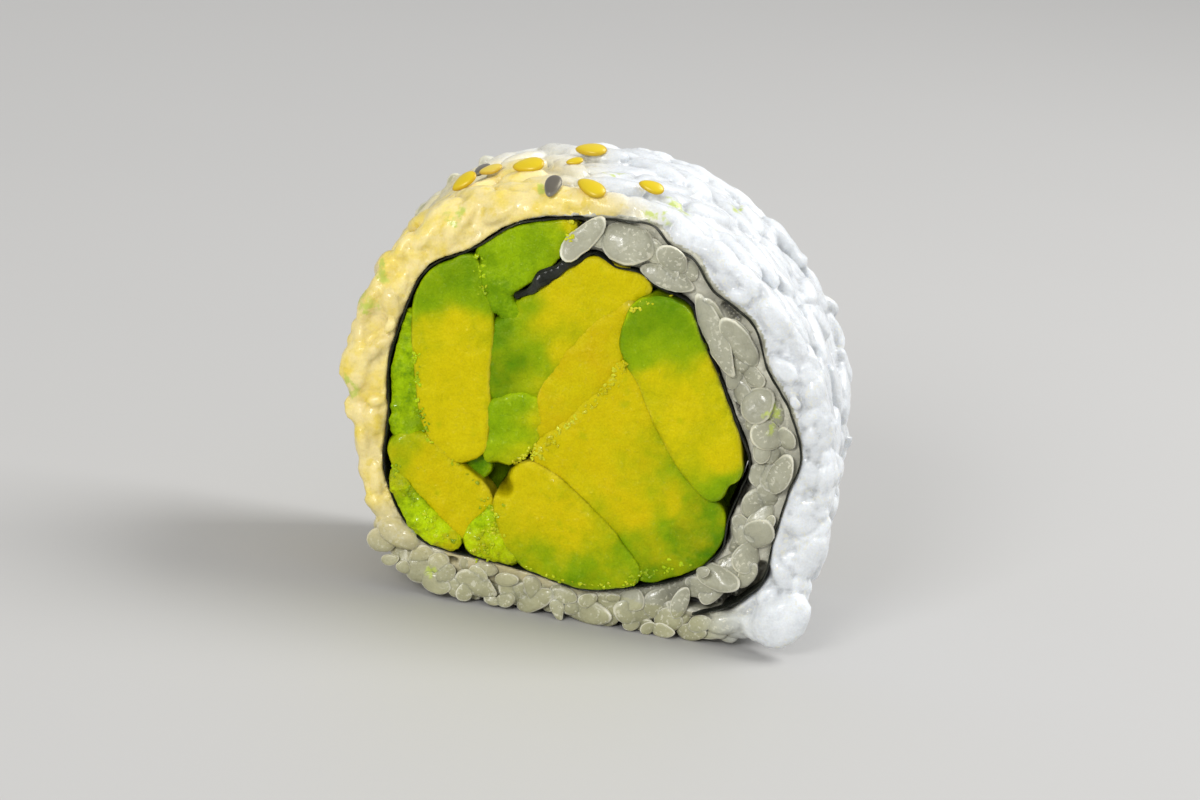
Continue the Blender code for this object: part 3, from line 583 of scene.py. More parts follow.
def floor_material(settings):
    material, wires, shader = new_material("studio floor", {"IOR": 1.4})
    place = wires.object_place()
    cloud = wires.noise(place, 9.0)
    paler = tuple(min(1.0, 1.03 * c) for c in settings.floor)
    colour = wires.mix(cloud, settings.floor, paler)
    plug(wires, shader, Base_Color=colour, Roughness=0.55 + 0.1 * cloud)
    return material


def unit(vector):
    return vector / np.linalg.norm(vector)


def ramp(values, start, length):
    """0 up to the start, and from there up to 1 over the length."""
    return np.clip((values - start) / length, 0.0, 1.0)


def smooth_path(knots, places):
    """Points of the smooth curve through the knots, at the given knot numbers."""
    knots = np.asarray(knots, float)
    places = np.clip(np.asarray(places, float), 0.0, len(knots) - 1.0)
    start = np.minimum(places.astype(int), len(knots) - 2)
    t = (places - start)[:, None]
    before = knots[np.maximum(start - 1, 0)]
    here = knots[start]
    after = knots[start + 1]
    beyond = knots[np.minimum(start + 2, len(knots) - 1)]
    return 0.5 * (
        2.0 * here
        + (after - before) * t
        + (2.0 * before - 5.0 * here + 4.0 * after - beyond) * t ** 2
        + (3.0 * here - before - 3.0 * after + beyond) * t ** 3
    )


def smooth_loop(knots, spacing):
    """A closed smooth curve through the knots, with points about the spacing apart."""
    wrapped = [*knots[-2:], *knots, *knots[:3]]
    places = np.linspace(2.0, 2.0 + len(knots), len(knots) * 12, endpoint=False)
    return thin_out(smooth_path(wrapped, places), spacing)


def thin_out(points, spacing):
    """Every point that lies at least the spacing from the last one kept."""
    kept = [points[0]]
    for point in points[1:]:
        if np.linalg.norm(point - kept[-1]) >= spacing:
            kept.append(point)
    if np.linalg.norm(kept[-1] - kept[0]) < 0.6 * spacing:
        kept.pop()
    return np.array(kept)


def left_normals(points):
    """Unit vectors to the left of the open path at each point."""
    along = np.gradient(points, axis=0)
    along /= np.linalg.norm(along, axis=1)[:, None]
    return np.stack([-along[:, 1], along[:, 0]], axis=1)


def turned_left(outline):
    """The outline in counter-clockwise order."""
    x, z = outline.T
    area = np.sum(x * np.roll(z, -1) - np.roll(x, -1) * z)
    return outline if area > 0 else outline[::-1]


def inset(outline, distance):
    """The counter-clockwise outline moved inwards, its corners kept sharp up to a limit."""
    ahead = np.roll(outline, -1, axis=0) - outline
    ahead /= np.linalg.norm(ahead, axis=1)[:, None]
    normal = np.stack([-ahead[:, 1], ahead[:, 0]], axis=1)
    corner = normal + np.roll(normal, 1, axis=0)
    corner /= np.maximum(np.sum(corner * normal, axis=1), 0.6)[:, None]
    return outline + distance * corner


def nori_half_thickness(places, thickness):
    crumple = np.clip(1.0 - np.asarray(places) / TIP_KNOTS, 0.0, 1.0)
    crumple = np.sin(np.pi * np.minimum(crumple, 0.8) ** 0.8)
    return 0.5 * (thickness + (NORI_TIP_THICKNESS - thickness) * crumple)


def nori_side(first, last, side, clearance, spacing):
    """Points beside the nori between two knots, on its inside (-1) or outside (+1)."""
    count = max(2, int(abs(last - first) * 12))
    places = np.linspace(first, last, count)
    line = smooth_path(NORI_LINE, places)
    normals = left_normals(line)
    if last < first:
        normals = -normals
    reach = nori_half_thickness(places, NORI_THICKNESS) + clearance
    points = line + side * normals * reach[:, None]
    return np.concatenate([thin_out(points, spacing)[:-1], points[-1:]])


def rice_hole(clearance, spacing):
    """The edge of the rice towards the nori and the filling, as one closed outline."""
    last = len(NORI_LINE) - 1.0
    outer = nori_side(RICE_START_KNOT, last, NORI_OUTSIDE, clearance, spacing)
    under = nori_side(last, RICE_START_OUTER, NORI_INSIDE, clearance, spacing)
    way_out = smooth_path(NORI_LINE, [last])[0] - smooth_path(NORI_LINE, [last - 0.2])[0]
    way_out *= (0.5 * NORI_THICKNESS + clearance) / np.linalg.norm(way_out)
    end = np.array([outer[-1] + way_out, under[0] + way_out])
    return np.concatenate([outer[:-1], end, under[1:]])


def filling_outline():
    """The room inside the nori that the avocado fills."""
    inner = nori_side(0.2, FILLING_END_OUTER, NORI_INSIDE, 0.5 * GAP, 1.0)
    tip = nori_side(2.0, 0.2, NORI_OUTSIDE, 0.5 * GAP, 1.0)
    return turned_left(np.concatenate([inner, tip]))


def settled(x, y, z):
    """The slight lean and squash that the slice has from its front to its back."""
    return Vector((x + LEAN * y * z, y, z * (1.0 + SQUASH * y))) * MM


def inside(point, outline):
    """Whether the point lies inside the closed outline."""
    x, z = (outline - point).T
    next_x, next_z = np.roll(x, -1), np.roll(z, -1)
    crossing = (z > 0) != (next_z > 0)
    at_x = x[crossing] - z[crossing] * (next_x - x)[crossing] / (next_z - z)[crossing]
    return np.sum(at_x > 0) % 2 == 1


def distance_to_nori(points):
    """Distance in the cut face's plane from each point to the nori's centre line."""
    line = smooth_path(NORI_LINE, np.linspace(0.0, len(NORI_LINE) - 1.0, 600))
    tree = KDTree(len(line))
    for i, (x, z) in enumerate(line):
        tree.insert((x, 0.0, z), i)
    tree.balance()
    return np.array([tree.find((x, 0.0, z))[2] for x, _, z in points])


def inside_many(points, outline):
    """Whether each of the points lies inside the closed outline."""
    crossings = np.zeros(len(points), int)
    x, z = points.T
    for (ax, az), (bx, bz) in zip(outline, np.roll(outline, -1, axis=0)):
        if az != bz:
            crossing = (az > z) != (bz > z)
            crossings += crossing & (x < ax + (z - az) * (bx - ax) / (bz - az))
    return crossings % 2 == 1


def nori_outer_turn():
    """The closed line along the middle of the nori's outer turn."""
    return smooth_path(NORI_LINE, np.linspace(OUTER_TURN_KNOT, len(NORI_LINE) - 1.0, 150))


def outside_ellipse(offsets, direction, half):
    """Whether all points, given from the ellipse's centre, lie outside it."""
    along = offsets @ direction
    across = offsets @ np.array([-direction[1], direction[0]])
    return bool(np.all((along / half[0]) ** 2 + (across / half[1]) ** 2 > 1.0))


class GrainField:
    """Rice grains on the core, each kept clear of the nori and only pressed into its neighbours."""

    def __init__(self, press=GRAIN_PRESS, sunk_side=0.0, sunk_face=0.0):
        self.press = press
        self.clearance = NORI_CLEARANCE
        self.sunk_side = sunk_side
        self.sunk_face = sunk_face
        self.side = turned_left(smooth_loop(ROLL_OUTLINE, 0.5))
        self.core = inset(self.side, GRAIN_RELIEF)
        self.hole = rice_hole(GAP, 1.6)
        self.edge_of_hole = self.close_points(self.hole)
        self.grains = []
        self.balls = np.zeros((0, 4))

    @staticmethod
    def close_points(outline):
        steps = np.linspace(0.0, 1.0, 6, endpoint=False)[None, :, None]
        ahead = np.roll(outline, -1, axis=0)[:, None]
        return (outline[:, None] * (1 - steps) + ahead * steps).reshape(-1, 2)

    def add(self, centre, axis, normal, length, width, cut, loose=False):
        """Keep the grain if it fits between those that are there."""
        reach = 0.5 * (length - width)
        offsets = np.array([-reach, 0.0, reach])
        points = centre + offsets[:, None] * axis
        radius = 0.5 * width
        if not loose and len(self.balls):
            apart = np.linalg.norm(self.balls[:, None, :3] - points[None], axis=2)
            if np.any(apart < (self.balls[:, 3:] + radius) * (1.0 - self.press)):
                return
        balls = np.concatenate([points, np.full((3, 1), radius)], axis=1)
        self.balls = np.concatenate([self.balls, balls])
        self.grains.append((centre, axis, normal, length, width, cut))

    def on_side(self, place, depth, turn, length, width):
        """A grain lying on the rolled side, turned from the way round the roll."""
        count = len(self.core)
        index = int(place * count)
        x, z = self.core[index]
        way = unit(self.core[(index + 2) % count] - self.core[index - 2])
        normal = np.array([way[1], 0.0, -way[0]])
        round_way = np.array([way[0], 0.0, way[1]])
        axis = np.cos(turn) * round_way + np.sin(turn) * np.array([0.0, 1.0, 0.0])
        sunk = GRAIN_RELIEF - 0.5 * GRAIN_FLATNESS * width - self.sunk_side
        near_rim = ramp(abs(depth), HALF_LENGTH - 2.4, 2.4)
        centre = np.array([x, depth, z]) + (sunk - RIM_SINK * near_rim ** 2) * normal
        lowest = centre[2] - 0.5 * width
        if lowest < PAD_HEIGHT and abs(depth) < PAD_HALF_DEPTH:
            return
        centre[2] += max(0.0, FLOOR_CLEARANCE - lowest)
        self.add(centre, axis, normal, length, width, 0.0)

    def on_face(self, x, z, turn, length, width, front, loose=False):
        """A cut grain in one of the faces, kept off the nori and shortened if it must be."""
        centre = np.array([x, z])
        if not inside(centre, self.side) or inside(centre, self.hole):
            return
        if front and self.clearance < 0.0 and self.in_hollow(x, z):
            return
        direction = np.array([np.cos(turn), np.sin(turn)])
        for share in (1.0, 0.85, 0.7):
            half = 0.5 * share * np.array([length, width])
            lowest = z - np.hypot(half[0] * direction[1], half[1] * direction[0])
            clear = outside_ellipse(self.edge_of_hole - centre, direction, half + self.clearance)
            held = loose or outside_ellipse(self.side - centre, direction, 0.8 * half)
            if clear and held and lowest > FLOOR_CLEARANCE:
                break
        else:
            return
        depth = -1.0 if front else 1.0
        normal = np.array([0.0, depth, 0.0])
        thickness = GRAIN_FLATNESS * width * share
        y = depth * (HALF_LENGTH + 0.15 - 0.5 * thickness - self.sunk_face)
        axis = np.array([direction[0], 0.0, direction[1]])
        self.add(np.array([x, y, z]), axis, normal, length * share, width * share, 1.0, loose)

    @staticmethod
    def in_hollow(x, z):
        point = np.array([[x, 0.0, z]])
        return any(off_line(point, line)[0] < reach + 0.7 for line, reach, _ in HOLLOWS)

    def scatter_faces(self, kinds, random, wander=0.45):
        for shortest, longest, width, darts in kinds:
            for dart in range(darts):
                x, z = random.uniform((-25.0, 0.0), (25.0, 43.0))
                round_way = np.arctan2(z - ROLL_CENTRE[1], x - ROLL_CENTRE[0]) + 0.5 * np.pi
                turn = round_way + random.normal(0.0, wander)
                length = random.uniform(shortest, longest)
                self.on_face(x, z, turn, length, width * random.uniform(0.9, 1.05), dart % 2 == 0)

    def scatter_side(self, kinds, random):
        for shortest, longest, width, darts in kinds:
            for _ in range(darts):
                place, depth = random.uniform((0.0, -HALF_LENGTH + 1.1), (1.0, HALF_LENGTH - 1.1))
                length = random.uniform(shortest, longest)
                turn = random.normal(0.0, 0.7) * (1.0 - 0.6 * (abs(depth) / HALF_LENGTH) ** 4)
                self.on_side(place, depth, turn, length, width * random.uniform(0.92, 1.08))

    def over_rim(self, centre, axis, normal, cover=RIM_COVER):
        """Move what lies in the sharp corner of a cut face in, onto the soft rim."""
        flat = centre[[0, 2]]
        count = len(self.side)
        index = int(np.argmin(np.linalg.norm(self.side - flat, axis=1)))
        way = unit(self.side[(index + 1) % count] - self.side[index - 1])
        away = np.array([way[1], 0.0, -way[0]])
        out = np.array([0.0, np.sign(centre[1]), 0.0])
        depth = (self.side[index] - flat) @ away[[0, 2]]
        radius = RIM_RADIUS + (TOP_RIM_RADIUS - RIM_RADIUS) * ramp(centre[2], 33.0, 6.0)
        reach = radius - np.array([depth, HALF_LENGTH - abs(centre[1])])
        if reach.min() <= 0.0:
            return centre, axis, normal
        turned = unit(reach)
        push = min(0.0, radius - cover - np.linalg.norm(reach))
        normal = turned[0] * away + turned[1] * out
        return centre + push * normal, unit(axis - (axis @ normal) * normal), normal


def scatter_grains():
    """The solids' own grains, then more that are pressed between them, then a sunk layer."""
    top = GrainField()
    random = np.random.default_rng(RANDOM_SEED)
    for (x, z), length, width, turn in FACE_LANDMARKS:
        top.on_face(x, z, np.radians(turn), length, width, front=True, loose=True)
    top.scatter_faces(FACE_GRAINS, random)
    top.scatter_side(SIDE_GRAINS, random)
    for (x, z), length, width, turn, rise in DRAWN_LANDMARKS:
        direction = np.array([np.cos(np.radians(turn)), 0.0, np.sin(np.radians(turn))])
        centre = np.array([x, 0.3 * width - HALF_LENGTH - LANDMARK_RISE - rise, z])
        top.add(centre, direction, np.array([0.0, -1.0, 0.0]), length, width, 1.0, loose=True)
    top.clearance = MORE_CLEARANCE
    top.press = CUT_PRESS
    top.scatter_faces(CUT_GRAINS, random, 0.9)
    top.press = MORE_PRESS
    top.scatter_faces(MORE_FACE_GRAINS, random)
    top.scatter_side(MORE_SIDE_GRAINS, random)
    low = GrainField(CUT_PRESS, SUNK_SIDE, SUNK_FACE)
    low.clearance = MORE_CLEARANCE
    low.scatter_faces(SUNK_FACE_GRAINS, random)
    low.scatter_side(SUNK_SIDE_GRAINS, random)
    return top, low


def grain_tree(name):
    """Geometry Nodes that set an uneven ellipsoid on each point, at its turn and size."""
    tree = bpy.data.node_groups.new(name, "GeometryNodeTree")
    kinds = {
        "Geometry": "NodeSocketGeometry", "Sides": "NodeSocketInt", "Rings": "NodeSocketInt",
        "Flat Top": "NodeSocketFloat", "Taper": "NodeSocketFloat",
        "Unevenness": "NodeSocketFloat", "Lump Scale": "NodeSocketFloat",
        "Seed": "NodeSocketFloat", "Material": "NodeSocketMaterial",
    }
    for title, kind in kinds.items():
        tree.interface.new_socket(name=title, in_out="INPUT", socket_type=kind)
    tree.interface.new_socket(name="Geometry", in_out="OUTPUT", socket_type="NodeSocketGeometry")
    wires = Wires(tree)
    given = wires.add("NodeGroupInput")
    ball = wires.add("GeometryNodeMeshUVSphere", {}, {
        "Segments": given.output("Sides"), "Rings": given.output("Rings"), "Radius": 0.5})
    place = wires.add("GeometryNodeInputPosition")
    parts = wires.add("ShaderNodeSeparateXYZ", {}, {0: place})
    x, y, z = parts.output(0), parts.output(1), parts.output(2)
    spread = wires.add("ShaderNodeMath", {"operation": "SQRT"}, {0: x * x + y * y})
    ball = wires.add("GeometryNodeStoreNamedAttribute", {"data_type": "FLOAT", "domain": "POINT"}, {
        "Geometry": ball, "Name": "edge", "Value": spread * 2.0})
    narrow = 1.0 - given.output("Taper") * x
    level = given.output("Flat Top")
    flattened = (z / level).maths("TANH") * level
    shaped = wires.add("ShaderNodeCombineXYZ", {}, {0: x, 1: y * narrow, 2: flattened})
    grain = wires.add("GeometryNodeSetPosition", {}, {"Geometry": ball, "Position": shaped})
    turn = named_vector(wires, "turn")
    size = named_vector(wires, "size")
    copies = wires.add("GeometryNodeInstanceOnPoints", {}, {
        "Points": given.output("Geometry"), "Instance": grain, "Rotation": turn, "Scale": size})
    real = wires.add("GeometryNodeRealizeInstances", {}, {"Geometry": copies})
    lumps = wires.add("ShaderNodeTexNoise", {"noise_dimensions": "4D"}, {
        "Vector": place, "W": given.output("Seed"), "Scale": given.output("Lump Scale"),
        "Detail": 1.0}, "Color")
    middle = wires.add("ShaderNodeVectorMath", {"operation": "SUBTRACT"}, {
        0: lumps, 1: (0.5, 0.5, 0.5)})
    offset = wires.add("ShaderNodeVectorMath", {"operation": "SCALE"}, {
        0: middle, "Scale": given.output("Unevenness") * 2.0})
    uneven = wires.add("GeometryNodeSetPosition", {}, {"Geometry": real, "Offset": offset})
    smooth = wires.add("GeometryNodeSetShadeSmooth", {}, {"Geometry": uneven, "Shade Smooth": True})
    dressed = wires.add("GeometryNodeSetMaterial", {}, {
        "Geometry": smooth, "Material": given.output("Material")})
    wires.add("NodeGroupOutput", {}, {"Geometry": dressed})
    return tree


def named_vector(wires, name):
    settings = {"data_type": "FLOAT_VECTOR"}
    return wires.add("GeometryNodeInputNamedAttribute", settings, {"Name": name}, "Attribute")


def grow_on_points(name, places, material, inputs):
    """A piece of joined grains or seeds: places are (centre, axis, normal, size, tone, cut)."""
    mesh = bpy.data.meshes.new(name)
    mesh.from_pydata([tuple(settled(*centre)) for centre, *_ in places], [], [])
    turns, sizes = [], []
    for _, axis, normal, size, _, _ in places:
        across = np.cross(normal, axis)
        turns.append(tuple(Matrix(np.stack([axis, across, normal], axis=1).tolist()).to_euler()))
        sizes.append(tuple(np.array(size) * MM))
    store(mesh, "turn", "FLOAT_VECTOR", turns)
    store(mesh, "size", "FLOAT_VECTOR", sizes)
    store(mesh, "tone", "FLOAT", [tone for *_, tone, _ in places])
    store(mesh, "cut", "FLOAT", [cut for *_, cut in places])
    obj = link(name, mesh)
    modifier = obj.modifiers.new("grains", "NODES")
    modifier.node_group = grain_tree(name)
    values = {"Material": material, **inputs}
    for item in modifier.node_group.interface.items_tree:
        if item.in_out == "INPUT" and item.name in values:
            modifier[item.identifier] = values[item.name]
    return made_plain(obj)


def store(mesh, name, kind, values):
    """Write a value for each point of the mesh."""
    attribute = mesh.attributes.get(name) or mesh.attributes.new(name, kind, "POINT")
    key = "vector" if kind == "FLOAT_VECTOR" else "value"
    attribute.data.foreach_set(key, np.asarray(values, np.float32).reshape(-1))


def link(name, mesh):
    obj = bpy.data.objects.new(name, mesh)
    bpy.context.scene.collection.objects.link(obj)
    return obj


def made_plain(obj):
    """The object with its modifiers' result as its own mesh."""
    graph = bpy.context.evaluated_depsgraph_get()
    mesh = bpy.data.meshes.new_from_object(obj.evaluated_get(graph))
    obj.modifiers.clear()
    obj.data = mesh
    mesh.name = obj.name
    return obj


def points_of(mesh):
    """The mesh's points in millimetres."""
    points = np.empty(len(mesh.vertices) * 3, np.float32)
    mesh.vertices.foreach_get("co", points)
    return points.reshape(-1, 3).astype(float) / MM


def normals_of(mesh):
    normals = np.empty(len(mesh.vertices) * 3, np.float32)
    mesh.vertices.foreach_get("normal", normals)
    return normals.reshape(-1, 3).astype(float)


def set_points(mesh, points):
    mesh.vertices.foreach_set("co", (points * MM).astype(np.float32).reshape(-1))
    mesh.update()


def waves(points, size, seed):
    """Smooth noise between -1 and 1 at each point, with features of about the given size."""
    shift = Vector((seed * 7.3, seed * 3.1, seed * 5.7))
    return np.array([noise.noise(Vector(p) / size + shift) for p in points])


def zones(points):
    """How much painted warm light the rice has, how brightly it is painted lit, and whether it lies
    between the nori's turns.
    """
    x, y, z = points.T
    near_front = ramp(-y, 8.5, 3.0)
    low = np.clip(0.35 + (z - 4.0) / 9.0, 0.0, 1.0)
    # painted warm light: more at the left, near the front and higher up, less towards the back
    cream = np.clip((-x - 2.0 + 9.0 * near_front) / 9.0, 0.0, 1.0)
    cream *= low * np.clip((9.0 - y) / 12.0, 0.25, 1.0)
    lit_right = ramp(x + 0.45 * z, 14.0, 6.0)
    lit_top = np.clip((z - 36.0 + 0.4 * (x + 14.0)) / 4.0, 0.0, 1.0)
    lit = np.maximum(lit_right, lit_top)
    between = inside_many(np.stack([x, z], axis=1), nori_outer_turn()).astype(float)
    return np.where(between > 0.5, 0.0, cream), np.where(between > 0.5, 0.0, lit), between


def open_rice(points):
    """Where a cut face shows the grains apart, alike on both faces."""
    cream, lit, between = zones(points * (1.0, 0.0, 1.0) - (0.0, HALF_LENGTH, 0.0))
    return np.clip(np.maximum(between, 1.0 - 1.4 * np.maximum(cream, lit)), 0.0, 1.0)


def tint_rice(mesh):
    """Where the rice has painted warm light, where it is painted lit white, and where avocado is
    smeared on it.
    """
    points = points_of(mesh)
    cream, lit, between = zones(points)
    store(mesh, "cream", "FLOAT", cream)
    store(mesh, "lit", "FLOAT", lit)
    store(mesh, "between", "FLOAT", between)
    stain = np.zeros(len(points))
    for sx, sy, sz, reach in STAINS:
        apart = np.linalg.norm(points - np.array([sx, sy, sz]), axis=1)
        stain = np.maximum(stain, np.clip(1.5 - apart / reach, 0.0, 1.0))
    store(mesh, "stain", "FLOAT", stain)


def off_line(points, line):
    """Distance in the cut face's plane from each point to the broken line."""
    nearest = np.full(len(points), np.inf)
    flat = points[:, [0, 2]]
    for start, end in zip(np.array(line)[:-1], np.array(line)[1:]):
        along = end - start
        share = np.clip((flat - start) @ along / (along @ along), 0.0, 1.0)
        apart = np.linalg.norm(flat - start - share[:, None] * along, axis=1)
        nearest = np.minimum(nearest, apart)
    return nearest


def lift_to_mean(mesh):
    """How far the mean of its neighbours lies above each point, and the normals there."""
    edges = np.empty(len(mesh.edges) * 2, np.int32)
    mesh.edges.foreach_get("vertices", edges)
    ends = edges.reshape(-1, 2)
    points = points_of(mesh)
    count = len(points)
    degree = np.bincount(edges, minlength=count)
    mean = np.stack([
        np.bincount(ends[:, 0], points[ends[:, 1], axis], count)
        + np.bincount(ends[:, 1], points[ends[:, 0], axis], count) for axis in range(3)
    ], axis=1) / degree[:, None]
    normals = normals_of(mesh)
    return np.sum((mean - points) * normals, axis=1), normals


def rest_on_floor(mesh):
    """Flatten what would sink into the floor."""
    points = points_of(mesh)
    points[:, 2] = np.maximum(points[:, 2], FLOOR_CLEARANCE)
    set_points(mesh, points)


def fill_valleys(mesh, weights, rounds):
    """Raise the valleys between grains, as sticky starch does, and leave the tops."""
    for _ in range(rounds):
        lift, normals = lift_to_mean(mesh)
        change = weights * np.where(lift > 0.0, lift, 0.35 * lift)
        set_points(mesh, points_of(mesh) + normals * change[:, None])


def sample_tree(name, attributes):
    """Geometry Nodes that copy attributes from the nearest surface of another object."""
    tree = bpy.data.node_groups.new(name, "GeometryNodeTree")
    tree.interface.new_socket(name="Geometry", in_out="INPUT", socket_type="NodeSocketGeometry")
    tree.interface.new_socket(name="Source", in_out="INPUT", socket_type="NodeSocketObject")
    tree.interface.new_socket(name="Geometry", in_out="OUTPUT", socket_type="NodeSocketGeometry")
    wires = Wires(tree)
    given = wires.add("NodeGroupInput")
    source = wires.add("GeometryNodeObjectInfo", {}, {"Object": given.output("Source")}, "Geometry")
    result = given.output("Geometry")
    for title in attributes:
        named = wires.add("GeometryNodeInputNamedAttribute", {"data_type": "FLOAT"}, {"Name": title})
        sampled = wires.add("GeometryNodeSampleNearestSurface", {"data_type": "FLOAT"}, {
            "Mesh": source, "Value": named})
        kind = {"data_type": "FLOAT", "domain": "POINT"}
        result = wires.add("GeometryNodeStoreNamedAttribute", kind, {
            "Geometry": result, "Name": title, "Value": sampled})
    wires.add("NodeGroupOutput", {}, {"Geometry": result})
    return tree


def stuck_together(core, grains, voxel):
    """One closed mass of the core and its grains, which keeps the grains' attributes."""
    bm = bmesh.new()
    bm.from_mesh(core.data)
    bm.from_mesh(grains.data)
    bm.to_mesh(core.data)
    bm.free()
    remesh = core.modifiers.new("even mesh", "REMESH")
    remesh.mode = "VOXEL"
    remesh.voxel_size = voxel
    remesh.use_smooth_shade = True
    sample = core.modifiers.new("grain attributes", "NODES")
    sample.node_group = sample_tree(core.name, ("edge", "tone", "cut"))
    for item in sample.node_group.interface.items_tree:
        if item.name == "Source":
            sample[item.identifier] = grains
    made_plain(core)
    bpy.data.objects.remove(grains)
    return core


def add_ring(bm, outline, depths):
    """Points along the outline, at one depth or at a depth for each."""
    depths = np.broadcast_to(depths, len(outline))
    return [bm.verts.new(settled(x, y, z)) for (x, z), y in zip(outline, depths)]


def bridge(bm, ring, following):
    for i in range(len(ring)):
        j = (i + 1) % len(ring)
        bm.faces.new((ring[i], ring[j], following[j], following[i]))


def fill_between(bm, *rings):
    edges = []
    for loop in rings:
        edges += [bm.edges.get((loop[i - 1], loop[i])) for i in range(len(loop))]
    bmesh.ops.triangle_fill(bm, use_beauty=True, use_dissolve=False, edges=edges)


def object_from(bm, name, material):
    bmesh.ops.recalc_face_normals(bm, faces=bm.faces)
    mesh = bpy.data.meshes.new(name)
    bm.to_mesh(mesh)
    bm.free()
    mesh.materials.append(material)
    mesh.shade_smooth()
    return link(name, mesh)


def finish_piece(obj, slot, *nodes):
    """Hand the finished piece to the frame."""
    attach(obj, BODY)
    if nodes:
        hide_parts(*nodes)


